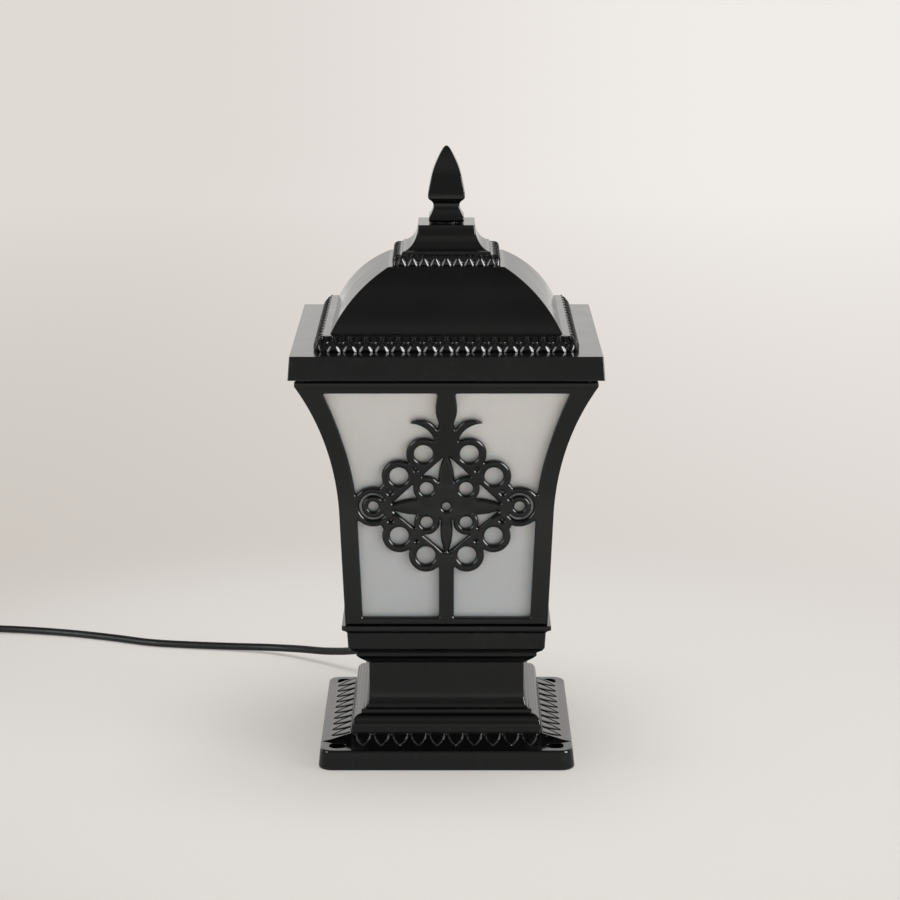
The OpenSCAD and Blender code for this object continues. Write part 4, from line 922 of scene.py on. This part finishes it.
def band_row(shell, z0, band, flat, count, section, hollow_corners=False):
    """Moulding round the square, with count drops to a side. Its ground, band, is a list of (half width,
    height over z0) from the foot up. section(v, pitch) lists (distance from a drop's middle, relief) up to
    the middle of the hollow, with v from 0 at the foot to 1 at the top. flat is where the corner arcs
    begin."""
    band = np.array(smooth_route([(w, z0 + z) for w, z in band], 4))
    way = np.gradient(band, axis=0)
    way /= np.linalg.norm(way, axis=1)[:, None]
    length = np.concatenate([[0], np.cumsum(np.linalg.norm(np.diff(band, axis=0), axis=1))])
    r0 = band[:, 0].max() - flat
    arc = math.pi / 2 * r0
    pitch = (arc + 2 * flat) / count
    rings = []
    for (w, z), (dw, dz), v in zip(band, way, length / length[-1]):
        u, h = np.array(section(v, pitch)).T
        if hollow_corners:
            u, h = pitch / 2 - u[::-1], h[::-1]
        u, h = np.concatenate([u, pitch - u[-2:0:-1]]), np.tile(np.concatenate([h, h[-2:0:-1]]), count)
        t = (np.arange(count)[:, None] * pitch + u).ravel()
        turn = np.clip(t, 0, arc / 2) / r0 + np.clip(t - arc / 2 - 2 * flat, 0, arc / 2) / r0
        angle = turn - 0.75 * math.pi
        centre = np.clip(t - arc / 2, 0, 2 * flat) - flat
        out = w + dz * h - flat
        x, y, up = centre + out * np.cos(angle), -flat + out * np.sin(angle), z - dw * h
        rings.append(np.concatenate([np.stack([c * x - s * y, s * x + c * y, up], 1) for c, s in QUARTERS]))
    return shell.rings(rings, edge=0.4)


def drop_section(height, shoulder, foot, dart, fade=0.08):
    """Drops with sloping shoulders, wide at the foot and narrow at the top, and a dart in each hollow.
    foot and dart list (v, half width as a share of the pitch). The relief runs out over the last part, fade,
    of the height."""
    def section(v, pitch):
        half = pitch * float(np.interp(v, *zip(*foot)))
        point = pitch * float(np.interp(v, *zip(*dart)))
        full = height * math.sqrt(min(1.0, v / 0.05 + 0.001)) * min(1.0, (1 - v) / fade + 0.02)
        low = full * 0.5 * min(1.0, point / (0.16 * pitch))
        ground = -0.5 * min(1.0, v / 0.1, (1 - v) / fade)
        s = min(shoulder, 0.72 * half)
        edge = pitch / 2 - point
        drop = [(0, full), (0.55 * (half - s), full)]
        drop += [(half - a * s, b * full) for a, b in ((1, 0.98), (0.9, 0.93), (0.5, 0.68), (0.14, 0.44),
                                                       (0.06, 0.36))]
        hollow = [(half, 0.7 * ground), (half + 0.3 * max(edge - half, 0.0), ground),
                  (max(edge - 0.02, half + 0.05), ground)]
        rise = ground + 0.62 * (low - ground)
        return drop + hollow + [(edge + 0.14 * point, rise), (edge + 0.5 * point, low), (pitch / 2, low)]
    return section


def dome_curve(radius, heights):
    """Outline points at the heights on a ball about the dome's centre."""
    return [(math.sqrt(radius ** 2 - (z - 240.6) ** 2), z, 0) for z in heights]


def roof_corner(w, z):
    if w < 3.6:
        return w
    return 0.75 if z < Z_BRIM + 1 else 1.0


dome_foot, Z_INSIDE, Z_GROOVE = Z_DOME + 0.9, Z_CROWN - 1, 260.9
dome = dome_curve(77.6, dome_foot + (Z_BEAD - Z_DOME - 0.9) * np.sin(np.linspace(0, math.pi / 2, 22)))
crown = [(27.5 - 9.9 * math.sin(a), Z_CROWN + 1.2 + 15.1 * (1 - math.cos(a)), 0)
         for a in np.linspace(0.06, 1.52, 12)]
inner_dome = dome_curve(74.1, 268.6 + 36.9 * np.sin(np.linspace(math.pi / 2, 0, 12)))
roof_outline = soften(
    [(95.0, Z_ROOF, 0.5), (93.9, Z_BRIM, 0.6), (77.0, Z_BRIM, 0.3), (74.7, Z_DOME, 0.3),
     (dome[0][0] + 0.5, Z_DOME + 0.2, 0.4), *dome, (33.4, Z_BEAD + 0.2, 0.2), (30.2, Z_BEAD + 0.3, 0.2),
     (28.9, Z_CROWN - 0.5, 0.3), (27.6, Z_CROWN - 0.4, 0.2), *crown, (17.6, Z_TOP, 0.45), (3.5, Z_TOP, 0.4),
     (3.5, Z_INSIDE, 0.2), (12.6, Z_INSIDE, 0.8), (14.6, 307.5, 0.8), *inner_dome, (72.5, 268.0, 1),
     (72.5, Z_GROOVE, 0.8), (77.9, Z_GROOVE, 0.8), (77.9, Z_ROOF, 0.4), (85.8, Z_ROOF, 0.4),
     (85.8, Z_GROOVE, 0.8), (91.5, Z_GROOVE, 0.8), (91.5, Z_ROOF, 0.4)], loop=True)
roof = square_loft(Shell(), roof_outline, roof_corner, loop=True)
band_row(roof, Z_BRIM, [(77.6, -0.3), (78.7, 0), (79.05, 0.6), (79.15, 1.8), (79.05, 3.2), (78.55, 4.6),
                        (77.8, 5.9), (76.9, 6.9), (76.2, 7.8), (75.5, 8.6), (74.8, 9.1)], 71.8, 16,
         drop_section(1.2, 1.5, ((0, 0.36), (0.05, 0.45), (0.12, 0.46), (0.42, 0.28), (0.65, 0.15),
                                 (1, 0.09)), ((0, 0.0), (0.3, 0.0), (0.65, 0.22), (1, 0.33))))
band_row(roof, Z_BEAD, [(31.2, -0.2), (32.0, 0.1), (32.2, 0.9), (32.3, 2.0), (32.25, 3.2), (32.0, 4.3),
                        (31.5, 5.2), (30.7, 5.9), (29.6, 6.3), (28.3, 6.5)], 27.4, 9,
         drop_section(1.1, 1.2, ((0, 0.40), (0.06, 0.49), (0.15, 0.47), (0.45, 0.27), (0.7, 0.16),
                                 (1, 0.1)), ((0, 0.0), (0.5, 0.0), (0.75, 0.12), (1, 0.24)), 0.42), True)
piece("roof_shell", roof, ROOF, black_paint, "roof_casting", angle=34)

# ---- Finial

finial_outline = soften(
    [(3.05, 349.1), (3.05, Z_FINIAL, 0.3), (10.6, Z_FINIAL, 0.7), (11.0, 335.0, 0.5), (10.8, 336.4, 0.3),
     (9.9, 337.8), (9.1, 339.3), (8.5, 340.8), (8.1, 342.4), (8.1, 344.2), (8.5, 345.4), (9.3, 346.4),
     (10.4, 347.3), (11.3, 348.3, 0.35), (11.5, 350.0), (11.3, 352.0), (10.9, 354.0), (10.4, 356.5),
     (9.8, 359.5), (9.0, 362.8), (8.0, 366.2), (6.7, 369.6), (5.2, 372.8), (3.7, 375.8), (2.2, 378.4),
     (1.0, 379.7), (0.25, 380.0)], 0)
bud = square_loft(Shell(), [(0.02, 349.1, 0)] + finial_outline,
                  lambda w, z: w if w < 3.1 and z < 350 else min(0.7, 0.55 * w), caps=(False, True))
piece("finial_bud", bud, FINIAL, black_paint, "finial", angle=40)

# ---- Rod, nuts, bolts and screws

piece("threaded_rod", thread(Shell(), 2.55, 3.0, 229.9, Z_FINIAL + 14, 1.0, sides=20, steps=5), LANTERN,
      plated_steel, "tie_rod", weighted=False, angle=70)
nuts = Shell()
for z in (Z_FLANGE - 7.5, Z_FLANGE):
    hexagon(nuts, (0, 0, z), (0, 0, 1), 10, 5, 3.05)
piece("hexagon_nuts", nuts, LANTERN, plated_steel, "rod_nuts")
bolts = Shell()
for x in (-34, 34):
    for y in (-34, 34):
        hexagon(bolts, (x, y, 57.0), (0, 0, -1), 8, 3.5)
        thread(bolts, 2.1, 2.5, 57.0, 65.0, 0.8, (x, y, 0), sides=16)
piece("hexagon_bolts", bolts, LANTERN, plated_steel, "tray_bolts")


def screw_set(name, stands_for, places, length, material=plated_steel, up=True, **more):
    shell = Shell()
    for place in places:
        screw(shell, place, (0, 0, 1 if up else -1), length, **more)
    piece(name, shell, LANTERN, material, stands_for, weighted=False)


def around(x, y, z):
    """A place and its mirror image, on all four sides."""
    return [(c * a - s * y, s * a + c * y, z) for a in (-x, x) for c, s in QUARTERS]


clip_w = float(face_w(238.2, PANE_BACK))
screw_set("lip_screws", "frame_screws", around(40, -53.2, 85.1), 6.2)
screw_set("plate_screws", "corner_screws", around(TOP_W - 33.4, 14.4 - TOP_W, 243.9), 3.7)
screw_set("clip_screw_set", "clip_screws", around(38, 5.7 - clip_w, 243.9), 3.7)
strap_w = TOP_W - 16.4
screw_set("strap_screws", "bridge_screws", [(x, y, 242.9) for x in (-strap_w, strap_w) for y in (-5, 5)], 4.7)
screw_set("foot_screws", "bracket_screws", [(x, 0, 66.5) for x in (-27, 27)], 4.3, up=False)
screw_set("earth_screw_head", "earth_screw", [(32, -19, 67.4)], 5.2, brass, False)
screw_set("clamp_screws", "terminal_screws", [(x, y, 74.7) for x in (-10, 0, 10) for y in (-38.5, -29.5)],
          2.6, brass, False, shaft=2.6, head=4.0, head_h=1.6, slotted=True)

# ---- Lamp holder and bulb

def round_piece(name, outline, sides, body, material, stands_for, z=0):
    """Closed round piece on the lantern's axis, with its outline's heights counted from z."""
    shell = lathe(Shell(), outline, (0, 0, z), sides=sides, caps=(True, True))
    piece(name, shell, body, material, stands_for)


def lamp_thread(shell, r_root, r_crest, start, end):
    """Open round thread of holder and cap."""
    thread(shell, r_root, r_crest, start, end, 3.6, sides=48, steps=10, round_crest=True, caps=(False, False))


round_piece("holder_ceramic", soften(
    [(0.05, 0), (16, 0, 0.8), (19, 2, 1), (19, 12, 1.5), (22, 17, 2), (22, 44, 1.2), (20.5, 46, 0.8),
     (17, 46, 0.8), (17, 18, 0.6), (0.05, 18)], steps=4), 64, LANTERN, porcelain, "holder_body", 74.0)
screw_shell = Shell()
lamp_thread(screw_shell, 13.16, 13.7, 95.0, 116.0)
lathe(screw_shell, soften([(9.2, 92.0), (16.9, 92.0, 0.2), (16.9, 93.0, 0.2), (13.7, 93.2, 0.3),
                           (13.2, 95.0)]))
piece("holder_thread", screw_shell, LANTERN, brass, "holder_shell", weighted=False)

CAP_Z0, CAP_Z1 = 101.3, 122.3
Z_GLOBE = 163.3
cap = lathe(Shell(), soften([(11.0, CAP_Z0), (12.0, CAP_Z0 + 0.6, 0.4), (12.1, CAP_Z0 + 1.2)]),
            caps=(True, False))
lamp_thread(cap, 12.1, 13.1, CAP_Z0 + 1.2, CAP_Z1 - 3.2)
lathe(cap, soften([(12.1, CAP_Z1 - 3.2), (13.05, CAP_Z1 - 2.4, 0.5), (13.05, CAP_Z1)]), caps=(False, True))
piece("bulb_thread", cap, BULB, plated_brass, "bulb_cap", weighted=False)
housing = [(14.0 + 15.6 * (0.5 - 0.5 * math.cos(math.pi * t)), CAP_Z1 + 3 + 37 * t, 0)
           for t in np.linspace(0.05, 1, 16)]
globe = [(30 * math.cos(a), 165.9 + 30 * math.sin(a))
         for a in np.linspace(math.radians(-4.5), math.radians(89.8), 30)]
round_piece("bulb_housing", soften([(0.05, CAP_Z1), (14.0, CAP_Z1, 0), (14.0, CAP_Z1 + 1.0, 0.3), *housing,
                                    (29.6, Z_GLOBE, 0.3), (0.05, Z_GLOBE)]),
            72, BULB, white_plastic, "bulb_body")
round_piece("bulb_dome", [(0.05, Z_GLOBE), (29.6, 163.35), *globe], 72, BULB, opal_plastic, "bulb_globe")
round_piece("bulb_seat", soften([(5.5, 97.8), (6.4, 98.2, 0.3), (10.9, 101.1, 0.3), (10.9, CAP_Z0)]),
            40, BULB, black_plastic, "bulb_insulator")
round_piece("bulb_tip", soften([(0.1, 96.3), (3.0, 96.5, 1.0), (4.0, 97.8)]),
            32, BULB, plated_brass, "bulb_contact")

# ---- Solids that stay as they are, with eased edges: finish and width of the easing

KEPT = {
    "corner_plates": (plated_steel, 0.25), "pane_clips": (plated_steel, 0.25),
    "bridge_strap": (plated_steel, 0.3), "lamp_bracket": (plated_steel, 0.25),
    "holder_contact": (brass, 0.15), "earth_tag": (brass, 0.2), "terminal_block": (white_plastic, 0.35),
    "roof_seal": (black_rubber, 0.2), "finial_washer": (black_rubber, 0.12)}
for name, (material, width) in KEPT.items():
    obj = nodes[name]
    obj.data.materials.clear()
    obj.data.materials.append(material)
    obj.modifiers.new("weld", "WELD").merge_threshold = 1e-6
    ease = obj.modifiers.new("ease", "BEVEL")
    ease.width, ease.segments, ease.limit_method = width * MM, 2, "ANGLE"
    ease.angle_limit = math.radians(40)
    ease.harden_normals = True

# ---- Studio: round pale floor in pale air, soft light from above and the right, strips for the gloss

# Painted shade: the near air is darker at the left, for the lantern's soft shadow there, and darker than the
# far air
NEAR_AIR_PAINTED_SHADE = (0.597, 0.558, 0.515), (0.730, 0.687, 0.652)  # at the left and at the right
# Painted light: the far air and the pale air are lighter at the right, for light from the right
FAR_AIR_PAINTED_SIDE_LIGHT = (0.745, 0.697, 0.665), (0.871, 0.838, 0.807)
# Painted light: seen close under the lantern, this colour lightens the lantern's shadow on the floor
UNDERFOOT_PAINTED_LIGHT = (0.735, 0.705, 0.675)
SOFT_WHITE = (1.0, 0.985, 0.955)


def product(tree, first, *others):
    for other in others:
        first = reckon(tree, "MULTIPLY", first, other)
    return first


def seen_directly(tree):
    """1 for rays from the eye, also through clear things."""
    path = node(tree, "LightPath").outputs
    return reckon(tree, "MAXIMUM", path["Is Camera Ray"], path["Is Transmission Ray"])


def studio_floor():
    """Round pale floor that runs into the pale air far out. The eye and the gloss see it lit from within,
    with painted shade darker at the left and near the lantern, and painted light that lightens the lantern's
    shadow close under it.
    """
    turns = [2 * math.pi * k / 96 for k in range(96)]
    rings = Shell().rings([[(r * math.cos(t), r * math.sin(t), 0) for t in turns]
                           for r in (0.3, 0.7, 1.4, 3.2)])
    mesh = bpy.data.meshes.new("studio")
    mesh.from_pydata(rings.co[0].tolist(), [], [tuple(range(len(turns))), *rings.faces])
    mat = bpy.data.materials.new("studio_paper")
    mat.use_nodes = True
    mesh.materials.append(mat)
    tree = mat.node_tree
    size = node(tree, "VectorMath")
    size.operation = "LENGTH"
    connect(tree, size.inputs[0], node(tree, "TexCoord").outputs["Object"])
    radius = size.outputs["Value"]
    side = between(tree, axes(tree, "Object")[0], 0, 1, -0.5, 0.5)
    far = between(tree, radius, 0, 1, 0.4, 2.6, "LINEAR")
    # painted shade and light: darker at the left and nearer the lantern, lighter at the right
    air = blend(tree, far, blend(tree, side, *NEAR_AIR_PAINTED_SHADE), blend(tree, side, *FAR_AIR_PAINTED_SIDE_LIGHT))
    # close under the lantern the eye sees this painted light over part of the shaded paper
    painted_light_and_shade = blend(tree, between(tree, radius, 0, 1, 0.25, 0.52), UNDERFOOT_PAINTED_LIGHT, air)
    # painted shade: in the gloss the floor is darker near the lantern, lighter far out
    mirrored_painted_shade = blend(tree, between(tree, radius, 0, 1, 0.2, 0.6), (0.52, 0.515, 0.50), (0.95, 0.935, 0.91))
    by_eye = product(tree, seen_directly(tree), between(tree, radius, 0.45, 1, 0.30, 0.60))
    by_gloss = between(tree, node(tree, "LightPath").outputs["Is Glossy Ray"], 0, 0.85, 0, 1)
    paper = blend(tree, between(tree, noise(tree, 900, 1.0), 0, 1), (0.76, 0.735, 0.71), (0.78, 0.755, 0.73))
    surface = tree.nodes["Principled BSDF"]
    feed(tree, surface, Base_Color=paper, Roughness=0.9, Specular_IOR_Level=0.1)
    for share, colour in ((by_eye, painted_light_and_shade), (by_gloss, mirrored_painted_shade)):
        mix = node(tree, "MixShader")
        light = node(tree, "Emission", Color=colour)
        for socket, value in zip(mix.inputs, (share, surface.outputs[0], light.outputs[0])):
            connect(tree, socket, value)
        surface = mix
    feed(tree, tree.nodes["Material Output"], Surface=surface.outputs[0])
    link("studio", mesh)


def soft_light(name, place, aim, size, power, gloss=True):
    """Panel of light, for the gloss only or for all but the gloss."""
    data = bpy.data.lights.new(name, "AREA")
    data.shape = "RECTANGLE"
    data.size, data.size_y = size
    data.energy = power
    obj = link(name, data)
    obj.location = place
    obj.rotation_euler = (Vector(aim) - Vector(place)).to_track_quat("-Z", "Y").to_euler()
    obj.visible_glossy = gloss
    obj.visible_diffuse = not gloss
    obj.visible_camera = False


studio_floor()
soft_light("top_box", (0.1, 0.0, 2.2), (0, 0.05, 0), (1.3, 1.1), 29, False)
soft_light("key_box", (1.7, -0.7, 1.1), (0, 0.1, 0.15), (0.8, 0.8), 6, False)
soft_light("right_panel", (1.20, -0.90, 0.58), (0, 0, 0.3), (0.7, 0.95), 50)
soft_light("left_panel", (-1.25, -0.85, 0.58), (0, 0, 0.3), (0.6, 0.95), 14)
soft_light("side_fill", (1.20, -0.90, 0.34), (0, 0, 0.22), (0.7, 0.46), 3, False)
soft_light("front_panel", (0.55, -1.9, 0.1), (0, 0, 0.1), (0.16, 0.5), 0.7)

# Air: pale for the eye, and for the gloss graded by height, behind the lantern and ahead of it
world = bpy.data.worlds.new("studio_air")
bpy.context.scene.world = world
world.use_nodes = True
tree = world.node_tree
across, back, up = axes(tree, "Generated")
behind = product(tree, between(tree, up, 0.70, 1.15, 0.04, 0.20), between(tree, up, 1.0, 0.09, 0.35, 0.75))
ahead = product(tree, between(tree, up, 0.50, 0.30, -0.03, 0.14), between(tree, up, 1.0, 1.7, 0.33, 0.55),
                between(tree, up, 1.0, 0.5, 0.65, 0.9),
                between(tree, reckon(tree, "ABSOLUTE", across), 1.0, 0.3, 0.25, 0.6))
in_gloss = blend(tree, between(tree, back, 0, 1, -0.2, 0.3), ahead, behind, colours=False)
by_gloss = node(tree, "LightPath").outputs["Is Glossy Ray"]
by_eye = seen_directly(tree)
# painted light: the pale air seen by the eye is lighter at the right
pale = blend(tree, between(tree, across, 0, 1, -0.10, 0.10), *FAR_AIR_PAINTED_SIDE_LIGHT)
unseen = blend(tree, by_gloss, 0.36, in_gloss, colours=False)
feed(tree, tree.nodes["Background"], Color=blend(tree, by_eye, SOFT_WHITE, pale),
     Strength=blend(tree, by_eye, unseen, 1.0, colours=False))
bpy.context.scene.view_settings.view_transform = "Standard"
